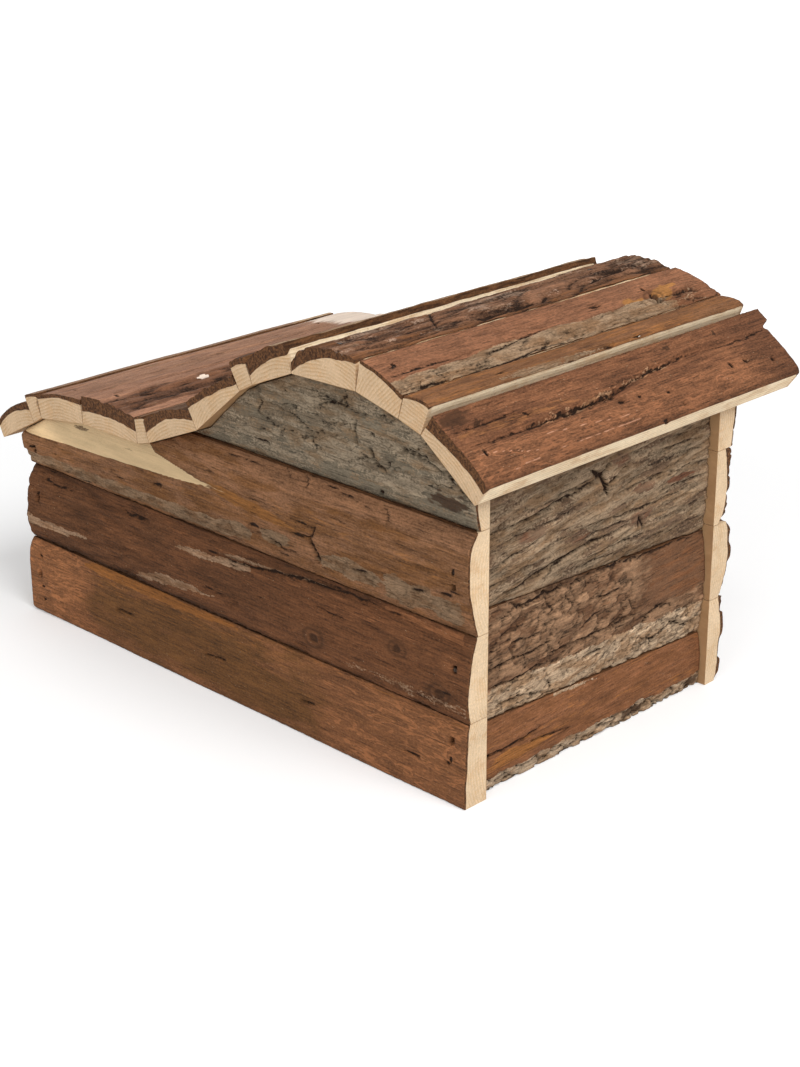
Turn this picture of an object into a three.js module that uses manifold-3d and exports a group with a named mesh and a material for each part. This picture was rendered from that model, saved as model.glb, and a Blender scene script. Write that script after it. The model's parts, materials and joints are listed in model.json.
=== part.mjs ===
// Rodent house of bark boards: two long walls, two end walls between them and a wavy roof of strips.
// Millimetres, +Z up. The front wall, with the doorway, faces -Y. The roof's high arch is at -X.
// The model stands on the middle of its base.

import * as THREE from 'three';
import * as BufferGeometryUtils from 'three/addons/utils/BufferGeometryUtils.js';
import Module from 'manifold-3d';

const wasm = await Module();
wasm.setup();

// Walls
const WALL_LENGTH = 285;
const INSIDE_DEPTH = 144.5;
const REAR_BOARD_THICKNESS = 13;
const FRONT_BOARD_THICKNESS = 12.3;
const END_BOARD_THICKNESS = 10;
const END_WALL_RECESS = 3;
const TALL_END_TILT = THREE.MathUtils.degToRad(2.75);
const LOW_END_TILT = 0;

// Heights of the boards, from the floor up; the topmost board of each wall runs up to the roof
const REAR_BOTTOM_HEIGHT = 36.9;
const REAR_SECOND_HEIGHT = 36.3;
const REAR_THIRD_HEIGHT = 43.5;
const FRONT_BOTTOM_HEIGHT = 40.9;
const FRONT_SECOND_HEIGHT = 35.3;
const FRONT_THIRD_HEIGHT = 34.2;
const TALL_END_BOTTOM_HEIGHT = 28.3;
const TALL_END_MIDDLE_HEIGHT = 48.4;
const LOW_END_BOTTOM_HEIGHT = 46;

// Doorway in the front wall, under the high arch
const DOORWAY_WIDTH = 76;
const DOORWAY_HEIGHT = 86;
const DOORWAY_OFFSET = 68;
const PARTED_BOARDS = 2;

// Roof
const LOW_EAVE_HEIGHT = 84.4;
const CREST_HEIGHT = 161.3;
const LOW_EAVE_OVERHANG = 13.9;
const TALL_EAVE_OVERHANG = 5;
const FRONT_OVERHANG = 35.5;
const REAR_OVERHANG = 1;
const STRIP_THICKNESS = 12;
const VALLEY_MITRE = 1;
const RIDGE_MITRE = 0.4;

// Main furrows and splits in the bark; each tapers to a share of its size at both ends
const FURROW_WIDTH = 5;
const FURROW_DEPTH = 1.8;
const FURROW_TAPER = 0.3;

// Brads
const BRAD_DIAMETER = 1.2;
const BRAD_HEAD_DIAMETER = 2;
const BRAD_HEAD_THICKNESS = 0.6;
const BRAD_LENGTH = 22;
const BRAD_SINK = 0.6;
const BRAD_CLEARANCE = 0.3;
const ROOF_BRAD_INSET = 4;
const BRAD_SIDES = 8;

// Fits
const GLUE_GAP = 0.3;
const SEAT_GAP = 0.4;
const OVERRUN = 10;

// Curve steps
const PROFILE_STEPS = 3;
const STRIP_STEPS = 6;
const ARCH_STEPS = 24;

// Colours
const RED_BARK = 0x7b4a33;
const BROWN_BARK = 0x6a4936;
const ORANGE_BARK = 0x8a5c3a;
const GREY_BARK = 0x77736a;
const OLIVE_BARK = 0x6f6d5e;
const BRIGHT_STEEL = 0x9a9a98;

// Outer faces of the boards: pairs of height share and thickness share, from the bottom edge up
const rearBottomShares = [[0, 0.99], [0.25, 0.98], [0.55, 0.93], [0.88, 0.89], [1, 0.82]];
const rearSecondShares = [[0, 0.82], [0.28, 0.94], [0.5, 0.85], [0.74, 0.76], [0.9, 0.65], [1, 0.54]];
const rearThirdShares = [[0, 0.54], [0.2, 0.7], [0.44, 0.88], [0.63, 0.91], [0.86, 0.85], [1, 0.55]];
const rearGableShares = [[0, 0.45], [0.1, 0.52], [0.25, 0.6], [0.5, 0.72], [0.8, 0.7], [1, 0.6]];
const frontBottomShares = [[0, 0.58], [0.06, 0.68], [0.4, 0.76], [0.66, 0.81], [1, 0.6]];
const frontSecondShares = [[0, 0.62], [0.3, 0.93], [0.55, 1], [0.85, 0.92], [1, 0.8]];
const frontThirdShares = [[0, 0.45], [0.35, 0.72], [0.7, 0.66], [1, 0.5]];
const frontGableShares = [[0, 0.84], [0.15, 0.9], [0.35, 0.97], [0.7, 0.9], [1, 0.75]];
const endBottomShares = [[0, 0.85], [0.4, 0.98], [0.75, 0.96], [1, 0.82]];
const endMiddleShares = [[0, 0.82], [0.25, 0.95], [0.6, 1], [1, 0.8]];
const endTopShares = [[0, 0.78], [0.2, 0.88], [0.6, 0.86], [1, 0.76]];

// The roof's underside from the low eave to the tall one: shares of the roof's run and of its rise
const seatShares = [
  [0, 0], [0.085, 0.174], [0.105, 0.22], [0.21, 0.282], [0.339, 0.285], [0.365, 0.313], [0.474, 0.492],
  [0.568, 0.802], [0.595, 0.86], [0.673, 0.99], [0.793, 1], [0.869, 0.926], [0.908, 0.879], [1, 0.605],
];

// Roof strips from the low eave up. rise holds shares of the strip thickness at the low side, the
// middle and the far side, and frontRise the same at the front end where it differs. reach is the
// share of the front overhang, with pairs of width share and reach where the front end isn't straight.
// brad is the share of the width at which the strip is nailed down; a narrow strip is only glued.
const stripShares = [
  { rise: [0.68, 0.95, 0.85], reach: 0.56, brad: 0.85, colour: BROWN_BARK },
  { rise: [1.15, 1.1, 1], reach: 0.58, colour: BROWN_BARK },
  { rise: [0.93, 1.04, 0.95], reach: 0.58, brad: 0.5, colour: RED_BARK },
  { rise: [1.1, 1.17, 0.98], reach: 0.52, brad: 0.35, colour: RED_BARK },
  { rise: [1, 1, 1], reach: 0.48, colour: BROWN_BARK },
  { rise: [0.85, 1.03, 0.78], reach: 0.56, brad: 0.15, colour: BROWN_BARK },
  { rise: [1.08, 0.93, 0.62], reach: 0.5, brad: 0.5, colour: ORANGE_BARK },
  { rise: [1.08, 1.1, 1], reach: 0.56, colour: BROWN_BARK },
  { rise: [0.8, 1.05, 0.83], reach: 0.62, brad: 0.5, colour: BROWN_BARK },
  { rise: [0.88, 1.18, 1.05], frontRise: [0.88, 1.3, 1.05], reach: 0.7, brad: 0.5, colour: GREY_BARK },
  { rise: [1.1, 1.05, 0.85], reach: [[0, 0.72], [1, 0.82]], brad: 0.35, colour: RED_BARK },
  { rise: [0.85, 1.05, 1.12], reach: 0.76, colour: ORANGE_BARK },
  { rise: [0.5, 0.9, 0.88], reach: [[0, 1], [0.2, 1], [0.3, 0.85], [1, 0.85]], brad: 0.62, colour: RED_BARK },
];

// Furrows of the roof, by the number of their strip. width and depth are shares of the sizes above, and
// path holds pairs: the share of the strip's length from the rear, and of its width from the low eave.
const stripFurrows = [
  { strip: 1, width: 0.9, depth: 0.6,
    path: [[0.05, 0.35], [0.3, 0.42], [0.6, 0.36], [0.9, 0.4]] },
  { strip: 3, width: 0.8, depth: 0.6,
    path: [[0.02, 0.3], [0.25, 0.26], [0.5, 0.31], [0.8, 0.27]] },
  { strip: 3, width: 0.8, depth: 0.6,
    path: [[0.2, 0.74], [0.45, 0.7], [0.7, 0.76], [0.97, 0.72]] },
  { strip: 4, width: 0.8, depth: 0.9,
    path: [[0.02, 0.51], [0.22, 0.54], [0.43, 0.51], [0.65, 0.56], [0.95, 0.54]] },
  { strip: 4, width: 0.7, depth: 0.8,
    path: [[0.07, 0.69], [0.33, 0.71], [0.55, 0.68], [0.9, 0.7]] },
  { strip: 4, width: 0.7, depth: 0.6,
    path: [[0.1, 0.18], [0.4, 0.2], [0.7, 0.16], [0.95, 0.19]] },
  { strip: 6, width: 1, depth: 0.8,
    path: [[0.02, 0.36], [0.25, 0.4], [0.5, 0.35], [0.75, 0.41], [0.98, 0.38]] },
  { strip: 6, width: 1, depth: 0.9,
    path: [[0.05, 0.66], [0.3, 0.62], [0.55, 0.68], [0.8, 0.63], [0.95, 0.66]] },
  { strip: 6, width: 0.8, depth: 0.7,
    path: [[0.1, 0.86], [0.35, 0.84], [0.6, 0.88], [0.9, 0.85]] },
  { strip: 7, width: 1, depth: 0.9,
    path: [[0.02, 0.25], [0.3, 0.21], [0.55, 0.27], [0.8, 0.22], [0.97, 0.25]] },
  { strip: 7, width: 1, depth: 0.9,
    path: [[0.04, 0.68], [0.28, 0.72], [0.5, 0.67], [0.75, 0.73], [0.96, 0.7]] },
  { strip: 8, width: 0.6, depth: 0.7,
    path: [[0.05, 0.5], [0.35, 0.42], [0.65, 0.55], [0.95, 0.48]] },
  { strip: 9, width: 0.8, depth: 0.7,
    path: [[0.03, 0.28], [0.3, 0.24], [0.6, 0.3], [0.95, 0.26]] },
  { strip: 9, width: 0.7, depth: 0.6,
    path: [[0.1, 0.7], [0.4, 0.68], [0.7, 0.72], [0.95, 0.69]] },
  { strip: 10, width: 0.9, depth: 0.9,
    path: [[0.02, 0.32], [0.12, 0.37], [0.24, 0.3], [0.34, 0.34]] },
  { strip: 10, width: 0.6, depth: 1,
    path: [[0.27, 0.87], [0.29, 0.66], [0.32, 0.47], [0.36, 0.25], [0.39, 0.1]] },
  { strip: 10, width: 1.3, depth: 1.1,
    path: [[0.33, 0.83], [0.4, 0.87], [0.48, 0.91], [0.58, 0.88], [0.67, 0.81], [0.85, 0.76],
      [0.99, 0.75]] },
  { strip: 10, width: 1.1, depth: 1,
    path: [[0.42, 0.2], [0.55, 0.25], [0.66, 0.24], [0.8, 0.31], [0.99, 0.28]] },
  { strip: 10, width: 0.8, depth: 0.8,
    path: [[0.03, 0.68], [0.14, 0.72], [0.25, 0.66]] },
  { strip: 10, width: 0.8, depth: 0.7,
    path: [[0.44, 0.52], [0.6, 0.57], [0.72, 0.55]] },
  { strip: 11, width: 0.8, depth: 0.6,
    path: [[0.02, 0.57], [0.2, 0.57], [0.28, 0.7], [0.37, 0.6], [0.5, 0.56]] },
  { strip: 11, width: 0.9, depth: 0.7,
    path: [[0.12, 0.9], [0.3, 0.93], [0.42, 0.88], [0.55, 0.92], [0.75, 0.88]] },
  { strip: 12, width: 0.6, depth: 0.5,
    path: [[0.2, 0.5], [0.45, 0.44], [0.7, 0.52]] },
  { strip: 13, width: 0.5, depth: 0.5,
    path: [[0.02, 0.26], [0.1, 0.25], [0.2, 0.27]] },
  { strip: 13, width: 0.9, depth: 0.9,
    path: [[0.01, 0.49], [0.21, 0.49], [0.32, 0.48], [0.45, 0.46], [0.5, 0.39], [0.55, 0.33],
      [0.74, 0.26], [0.96, 0.31]] },
];

// Furrows of the tall end's top board, with pairs of the share of its length from the rear wall and the
// share of its height
const tallEndFurrows = [
  { width: 0.8, depth: 0.8, path: [[0.04, 0.336], [0.2, 0.378], [0.34, 0.423], [0.49, 0.475]] },
  { width: 0.8, depth: 0.9, path: [[0.09, 0.032], [0.27, 0.088], [0.41, 0.132], [0.6, 0.179]] },
  { width: 0.8, depth: 0.7, path: [[0.62, 0.493], [0.75, 0.532], [0.92, 0.551]] },
  { width: 0.8, depth: 0.8, path: [[0.55, 0.3], [0.67, 0.354], [0.8, 0.396], [0.97, 0.434]] },
  { width: 1, depth: 0.7, path: [[0.1, 0.199], [0.27, 0.241], [0.44, 0.272]] },
  { width: 0.9, depth: 0.8, path: [[0.66, 0.21], [0.82, 0.259], [0.96, 0.28]] },
  { width: 1, depth: 0.8, path: [[0.2, 0.556], [0.48, 0.632], [0.82, 0.66]] },
];

// Brads through the long walls into the end walls: shares of the height of the board that they hold
const wallBradShares = [
  { wall: 'rear', end: 'tall', heights: [0.53, 0.58, 0.61] },
  { wall: 'rear', end: 'low', heights: [0.56, 0.65, 0.2] },
  { wall: 'front', end: 'tall', heights: [0.68, 0.5, 0.5] },
  { wall: 'front', end: 'low', heights: [0.5, 0.5, 0.23] },
];

const UP = new THREE.Vector3(0, 0, 1);
const ALONG_X = new THREE.Vector3(1, 0, 0);
const REARWARD = new THREE.Vector3(0, 1, 0);
const FORWARD = new THREE.Vector3(0, -1, 0);

function solidOf(geometry) {
  const bare = geometry.clone();
  bare.deleteAttribute('normal');
  bare.deleteAttribute('uv');
  const merged = BufferGeometryUtils.mergeVertices(bare);
  const corners = merged.index.array;
  const kept = [];
  for (let i = 0; i < corners.length; i += 3) {
    const [a, b, c] = corners.slice(i, i + 3);
    if (a !== b && b !== c && c !== a) kept.push(a, b, c);
  }
  const vertProperties = new Float32Array(merged.attributes.position.array);
  return new wasm.Manifold(new wasm.Mesh({ numProp: 3, vertProperties, triVerts: new Uint32Array(kept) }));
}

function geometryOf(solid) {
  const mesh = solid.getMesh();
  const geometry = new THREE.BufferGeometry();
  geometry.setAttribute('position', new THREE.BufferAttribute(new Float32Array(mesh.vertProperties), 3));
  geometry.setIndex(new THREE.BufferAttribute(new Uint32Array(mesh.triVerts), 1));
  geometry.computeVertexNormals();
  return geometry;
}

function materialOf(colour, roughness, metalness) {
  return new THREE.MeshStandardMaterial({ color: colour, roughness, metalness });
}

const barkMaterial = (colour) => materialOf(colour, 0.85, 0);
const bradMaterial = () => materialOf(BRIGHT_STEEL, 0.4, 0.9);

// Extrudes a shape whose x runs along right and whose y runs up; the middle of its depth is at centre
function extrusion(shape, depth, right, centre, steps) {
  const geometry = new THREE.ExtrudeGeometry(shape, { depth, bevelEnabled: false, curveSegments: steps });
  geometry.translate(0, 0, -depth / 2);
  const basis = new THREE.Matrix4().makeBasis(right, UP, new THREE.Vector3().crossVectors(right, UP));
  geometry.applyMatrix4(basis.setPosition(centre));
  return geometry;
}

// Corners of a solid seen from the front, x to the right and z up, run through from front to back
function throughPrism(outline, front, rear, steps = 1) {
  const centre = new THREE.Vector3(0, (front + rear) / 2, 0);
  return extrusion(outline, rear - front, ALONG_X, centre, steps);
}

// A board's section: flat inside, bark outside
function boardSection(bottom, top, thickness, profileShares) {
  const outer = profileShares.map(([heightShare, thicknessShare]) => new THREE.Vector2(
    thickness * thicknessShare,
    THREE.MathUtils.lerp(bottom, top, heightShare),
  ));
  const shape = new THREE.Shape();
  shape.moveTo(0, bottom);
  shape.lineTo(outer[0].x, outer[0].y);
  shape.splineThru(outer.slice(1));
  shape.lineTo(0, top);
  return shape;
}

// The value of a list of pairs at one place, taken straight between the pairs
function valueAt(pairs, place) {
  const upper = Math.max(1, pairs.findIndex(([at]) => at >= place));
  const [lowPlace, lowValue] = pairs[upper - 1];
  const [highPlace, highValue] = pairs[upper];
  return THREE.MathUtils.mapLinear(place, lowPlace, highPlace, lowValue, highValue);
}

// Joins rings of points into a solid, from the rear one to the front one. Each ring is seen from the
// front, x to the right and z up, and runs anticlockwise.
function loft(rings) {
  const count = rings[0].length;
  const triangles = [];
  for (let first = 0; first < count * (rings.length - 1); first += count) {
    for (let i = 0; i < count; i += 1) {
      const [a, b] = [first + i, first + (i + 1) % count];
      triangles.push(a, b, b + count, a, b + count, a + count);
    }
  }
  const flat = (ring) => ring.map(({ x, z }) => new THREE.Vector2(x, z));
  const cap = (ring) => THREE.ShapeUtils.triangulateShape(flat(ring), []);
  for (const [a, b, c] of cap(rings[0])) triangles.push(c, b, a);
  const last = count * (rings.length - 1);
  for (const [a, b, c] of cap(rings.at(-1))) triangles.push(last + a, last + b, last + c);
  const geometry = new THREE.BufferGeometry().setFromPoints(rings.flat());
  return geometry.setIndex(triangles);
}

// Gives each board its bottom and top, one on the other with a glue line between. The last one has no
// height of its own and runs up to the crest, where the roof line cuts it.
function stack(boards) {
  let level = 0;
  return boards.map((entry) => {
    const bottom = level === 0 ? 0 : level + GLUE_GAP / 2;
    const top = entry.height ? level + entry.height - GLUE_GAP / 2 : CREST_HEIGHT;
    level += entry.height ?? 0;
    return { ...entry, bottom, top };
  });
}

// The line on which the roof lies
const roofStart = WALL_LENGTH / 2 + LOW_EAVE_OVERHANG;
const roofEnd = -WALL_LENGTH / 2 - TALL_EAVE_OVERHANG;
const seat = seatShares.map(([runShare, riseShare]) => new THREE.Vector2(
  THREE.MathUtils.lerp(roofStart, roofEnd, runShare),
  THREE.MathUtils.lerp(LOW_EAVE_HEIGHT, CREST_HEIGHT, riseShare),
));

const rearInner = INSIDE_DEPTH / 2;
const frontInner = -INSIDE_DEPTH / 2;
const rearOuter = rearInner + REAR_BOARD_THICKNESS;
const frontOuter = frontInner - FRONT_BOARD_THICKNESS;

// Everything under the roof, to which the walls are sawn
function underRoof() {
  const outline = new THREE.Shape();
  outline.moveTo(roofStart, -OVERRUN);
  seat.forEach((point) => outline.lineTo(point.x, point.y - SEAT_GAP));
  outline.lineTo(roofEnd, -OVERRUN);
  return solidOf(throughPrism(outline, frontOuter - OVERRUN, rearOuter + OVERRUN));
}

function doorway() {
  const radius = DOORWAY_WIDTH / 2;
  const spring = DOORWAY_HEIGHT - radius;
  const outline = new THREE.Shape();
  outline.moveTo(-DOORWAY_OFFSET - radius, -OVERRUN);
  outline.lineTo(-DOORWAY_OFFSET + radius, -OVERRUN);
  outline.lineTo(-DOORWAY_OFFSET + radius, spring);
  outline.absarc(-DOORWAY_OFFSET, spring, radius, 0, Math.PI, false);
  return solidOf(throughPrism(outline, frontOuter - OVERRUN, frontInner + OVERRUN, ARCH_STEPS));
}

// A board of a long wall, between two places along x
function longBoard({ bottom, top, profileShares }, thickness, inner, outward, from, to) {
  const section = boardSection(bottom, top, thickness, profileShares);
  const centre = new THREE.Vector3((from + to) / 2, inner, 0);
  return solidOf(extrusion(section, to - from, outward, centre, PROFILE_STEPS));
}

// A furrow's tool along points of the bark, from rear to front. It has a point downwards, and its flanks
// pass the bark at the furrow's width.
function furrowTool(points, outward, width, depth) {
  const sideways = new THREE.Vector3(-outward.z, 0, outward.x);
  return loft(points.map((point, step) => {
    const taper = step === 0 || step === points.length - 1 ? FURROW_TAPER : 1;
    const deep = outward.clone().multiplyScalar(FURROW_DEPTH * depth * taper);
    const wide = sideways.clone().multiplyScalar(FURROW_WIDTH * width * taper);
    const rim = point.clone().add(deep);
    return [point.clone().sub(deep), rim.clone().sub(wide), rim.clone().add(wide)];
  }));
}

// A board of an end wall. Its seams may be tilted, and its ends are sawn to lie between the long walls
function endBoard({ bottom, top, profileShares, furrows = [] }, side, tilt) {
  const outward = new THREE.Vector3(side, 0, 0);
  const slack = bottom === 0 ? INSIDE_DEPTH * Math.tan(tilt) : 0;
  const section = boardSection(bottom - slack, top, END_BOARD_THICKNESS, profileShares);
  const inner = side * (WALL_LENGTH / 2 - END_WALL_RECESS - END_BOARD_THICKNESS);
  const centre = new THREE.Vector3(inner, 0, 0);
  const prism = extrusion(section, INSIDE_DEPTH + CREST_HEIGHT, outward, centre, PROFILE_STEPS);
  prism.rotateX(tilt);
  const bay = new THREE.BoxGeometry(WALL_LENGTH, INSIDE_DEPTH - 2 * GLUE_GAP, CREST_HEIGHT);
  bay.translate(0, 0, CREST_HEIGHT / 2);
  const tools = furrows.map(({ width, depth, path }) => furrowTool(path.map(([depthShare, heightShare]) => {
    const height = THREE.MathUtils.lerp(bottom, top, heightShare);
    const y = THREE.MathUtils.lerp(rearInner, frontInner, depthShare);
    const x = inner + side * END_BOARD_THICKNESS * valueAt(profileShares, heightShare);
    return new THREE.Vector3(x, y, height / Math.cos(tilt) + y * Math.tan(tilt));
  }), outward, width, depth));
  return solidOf(prism).intersect(solidOf(bay)).subtract(wasm.Manifold.union(tools.map(solidOf)));
}

// The height of a strip above its seat, on the curve through its three heights
function stripRise(rise, share) {
  const [near, middle, far] = rise;
  const bulge = near * (1 - share) * (1 - 2 * share) + 4 * middle * share * (1 - share)
    + far * share * (2 * share - 1);
  return STRIP_THICKNESS * bulge;
}

// How far a strip's side leans over the joint at a seat point, as a tangent
function lean(index) {
  if (index === 0 || index === seat.length - 1) return 0;
  const before = new THREE.Vector2().subVectors(seat[index], seat[index - 1]);
  const after = new THREE.Vector2().subVectors(seat[index + 1], seat[index]);
  const bend = Math.atan2(before.y, -before.x) - Math.atan2(after.y, -after.x);
  return Math.tan(bend / 2) * (bend > 0 ? RIDGE_MITRE : VALLEY_MITRE);
}

// Where a strip lies: its two seat points, the way from one to the other and the way up from the seat
function stripPlace(index) {
  const along = new THREE.Vector2().subVectors(seat[index + 1], seat[index]).normalize();
  const start = seat[index].clone().addScaledVector(along, GLUE_GAP / 2);
  const end = seat[index + 1].clone().addScaledVector(along, -GLUE_GAP / 2);
  const outward = new THREE.Vector2(along.y, -along.x);
  return { start, end, along, outward };
}

// How far towards the front a strip has come, at shares of its width and of its length from the rear
function stripDepth(index, share, lengthShare) {
  const { reach } = stripShares[index];
  const front = frontOuter - FRONT_OVERHANG * (Array.isArray(reach) ? valueAt(reach, share) : reach);
  return THREE.MathUtils.lerp(rearOuter + REAR_OVERHANG, front, lengthShare);
}

// A point on a strip's bark, at shares of its width and of its length from the rear
function stripTop(index, share, lengthShare) {
  const { start, end, along, outward } = stripPlace(index);
  const { rise, frontRise = rise } = stripShares[index];
  const height = THREE.MathUtils.lerp(stripRise(rise, share), stripRise(frontRise, share), lengthShare);
  const slant = THREE.MathUtils.lerp(-lean(index), lean(index + 1), share);
  const point = start.clone().lerp(end, share)
    .addScaledVector(outward, height)
    .addScaledVector(along, height * slant);
  return new THREE.Vector3(point.x, stripDepth(index, share, lengthShare), point.y);
}

function roofStrip(index) {
  const { start, end, outward } = stripPlace(index);
  const upward = new THREE.Vector3(outward.x, 0, outward.y);
  const steps = Array.from({ length: STRIP_STEPS + 1 }, (_, step) => step / STRIP_STEPS);
  const rings = [0, 1].map((lengthShare) => [
    new THREE.Vector3(end.x, stripDepth(index, 1, lengthShare), end.y),
    new THREE.Vector3(start.x, stripDepth(index, 0, lengthShare), start.y),
    ...steps.map((share) => stripTop(index, share, lengthShare)),
  ]);
  const furrows = stripFurrows.filter(({ strip }) => strip === index + 1);
  const tools = furrows.map(({ width, depth, path }) => furrowTool(
    path.map(([lengthShare, share]) => stripTop(index, share, lengthShare)), upward, width, depth));
  return solidOf(loft(rings)).subtract(wasm.Manifold.union(tools.map(solidOf)));
}

// A brad stands with its head up and its head's top at zero; clearance makes the hole for it
function bradShape(clearance, mouth) {
  const head = BRAD_HEAD_DIAMETER / 2 + clearance;
  const shank = BRAD_DIAMETER / 2 + clearance;
  const neck = -BRAD_HEAD_THICKNESS - clearance;
  const tip = -BRAD_LENGTH - clearance;
  const profile = [[0, tip], [shank, tip], [shank, neck], [head, neck], [head, mouth], [0, mouth]];
  return new THREE.LatheGeometry(profile.map(([x, y]) => new THREE.Vector2(x, y)), BRAD_SIDES);
}

function placedBrad(place, clearance, mouth) {
  const geometry = bradShape(clearance, mouth);
  geometry.applyQuaternion(new THREE.Quaternion().setFromUnitVectors(REARWARD, place.outward));
  geometry.translate(place.head.x, place.head.y, place.head.z);
  return solidOf(geometry);
}

function wallBradPlaces(walls) {
  return wallBradShares.flatMap(({ wall, end, heights }) => {
    const { boards, thickness, inner, outward } = walls[wall];
    const side = end === 'low' ? 1 : -1;
    const x = side * (WALL_LENGTH / 2 - END_WALL_RECESS - END_BOARD_THICKNESS / 2);
    return heights.map((heightShare, index) => {
      const { bottom, top, profileShares } = boards[index];
      const depth = thickness * valueAt(profileShares, heightShare) - BRAD_SINK;
      const z = THREE.MathUtils.lerp(bottom, top, heightShare);
      return { head: new THREE.Vector3(x, inner + outward.y * depth, z), outward };
    });
  });
}

function roofBradPlaces() {
  const rows = [frontInner - ROOF_BRAD_INSET, rearInner + ROOF_BRAD_INSET];
  return rows.flatMap((y) => stripShares.flatMap((strip, index) => {
    if (!strip.brad) return [];
    const [rear, front] = [0, 1].map((end) => stripDepth(index, strip.brad, end));
    const { outward } = stripPlace(index);
    const upward = new THREE.Vector3(outward.x, 0, outward.y);
    const lengthShare = THREE.MathUtils.inverseLerp(rear, front, y);
    const head = stripTop(index, strip.brad, lengthShare).addScaledVector(upward, -BRAD_SINK);
    return [{ head, outward: upward }];
  }));
}

const board = (name, colour, profileShares, height, furrows) => (
  { name, colour, profileShares, height, furrows });

const rearBoards = stack([
  board('rear_bottom_board', RED_BARK, rearBottomShares, REAR_BOTTOM_HEIGHT),
  board('rear_second_board', BROWN_BARK, rearSecondShares, REAR_SECOND_HEIGHT),
  board('rear_third_board', ORANGE_BARK, rearThirdShares, REAR_THIRD_HEIGHT),
  board('rear_gable_board', OLIVE_BARK, rearGableShares),
]);

const frontBoards = stack([
  board('front_bottom_board', BROWN_BARK, frontBottomShares, FRONT_BOTTOM_HEIGHT),
  board('front_second_board', ORANGE_BARK, frontSecondShares, FRONT_SECOND_HEIGHT),
  board('front_third_board', RED_BARK, frontThirdShares, FRONT_THIRD_HEIGHT),
  board('front_gable_board', GREY_BARK, frontGableShares),
]);

const tallEndBoards = stack([
  board('tall_end_bottom_board', RED_BARK, endBottomShares, TALL_END_BOTTOM_HEIGHT),
  board('tall_end_middle_board', BROWN_BARK, endMiddleShares, TALL_END_MIDDLE_HEIGHT),
  board('tall_end_top_board', GREY_BARK, endTopShares, undefined, tallEndFurrows),
]);

const lowEndBoards = stack([
  board('low_end_bottom_board', BROWN_BARK, endMiddleShares, LOW_END_BOTTOM_HEIGHT),
  board('low_end_top_board', RED_BARK, endTopShares),
]);

const walls = {
  rear: { boards: rearBoards, thickness: REAR_BOARD_THICKNESS, inner: rearInner, outward: REARWARD },
  front: { boards: frontBoards, thickness: FRONT_BOARD_THICKNESS, inner: frontInner, outward: FORWARD },
};

const wallBrads = wallBradPlaces(walls);
const roofBrads = roofBradPlaces();
const bradHoles = wasm.Manifold.union(
  [...wallBrads, ...roofBrads].map((place) => placedBrad(place, BRAD_CLEARANCE, OVERRUN)),
);

const house = new THREE.Group();

function addPiece(name, solid, material) {
  const mesh = new THREE.Mesh(geometryOf(solid), material);
  mesh.name = name;
  house.add(mesh);
}

function addWood(name, solid, colour) {
  addPiece(name, solid.subtract(bradHoles), barkMaterial(colour));
}

const roofLine = underRoof();
const doorCut = doorway();

for (const entry of rearBoards) {
  const [from, to] = [-WALL_LENGTH / 2, WALL_LENGTH / 2];
  const solid = longBoard(entry, REAR_BOARD_THICKNESS, rearInner, REARWARD, from, to);
  addWood(entry.name, solid.intersect(roofLine), entry.colour);
}

// The two lower boards of the front wall are in two pieces, one on each side of the doorway
const tallSide = ['_tall_side', -WALL_LENGTH / 2, -DOORWAY_OFFSET - GLUE_GAP / 2];
const lowSide = ['_low_side', -DOORWAY_OFFSET + GLUE_GAP / 2, WALL_LENGTH / 2];
const wholeWall = ['', -WALL_LENGTH / 2, WALL_LENGTH / 2];

for (const [index, entry] of frontBoards.entries()) {
  for (const [suffix, from, to] of index < PARTED_BOARDS ? [tallSide, lowSide] : [wholeWall]) {
    const solid = longBoard(entry, FRONT_BOARD_THICKNESS, frontInner, FORWARD, from, to);
    addWood(entry.name + suffix, solid.intersect(roofLine).subtract(doorCut), entry.colour);
  }
}

for (const entry of tallEndBoards) {
  addWood(entry.name, endBoard(entry, -1, TALL_END_TILT).intersect(roofLine), entry.colour);
}

for (const entry of lowEndBoards) {
  addWood(entry.name, endBoard(entry, 1, LOW_END_TILT).intersect(roofLine), entry.colour);
}

stripShares.forEach((strip, index) => {
  addWood(`roof_strip_${String(index + 1).padStart(2, '0')}`, roofStrip(index), strip.colour);
});

for (const [prefix, places] of [['wall_brad_', wallBrads], ['roof_brad_', roofBrads]]) {
  places.forEach((place, index) => {
    addPiece(prefix + String(index + 1).padStart(2, '0'), placedBrad(place, 0, 0), bradMaterial());
  });
}

// Sets the middle of the base on the origin
const extent = new THREE.Box3().setFromObject(house);
const middle = extent.getCenter(new THREE.Vector3());
house.position.set(-middle.x, -middle.y, -extent.min.z);

export default house;
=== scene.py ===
"""A rodent house of bark-covered boards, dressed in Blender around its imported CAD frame.

Lengths are millimetres here, in the part's own frame, and become metres where a mesh is made.
The rear wall looks along +Y, the high arch lies towards -X, and Z is up.
"""
import json
import math

import bpy
import numpy as np
from mathutils import Matrix, Vector
from mathutils.bvhtree import BVHTree


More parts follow.
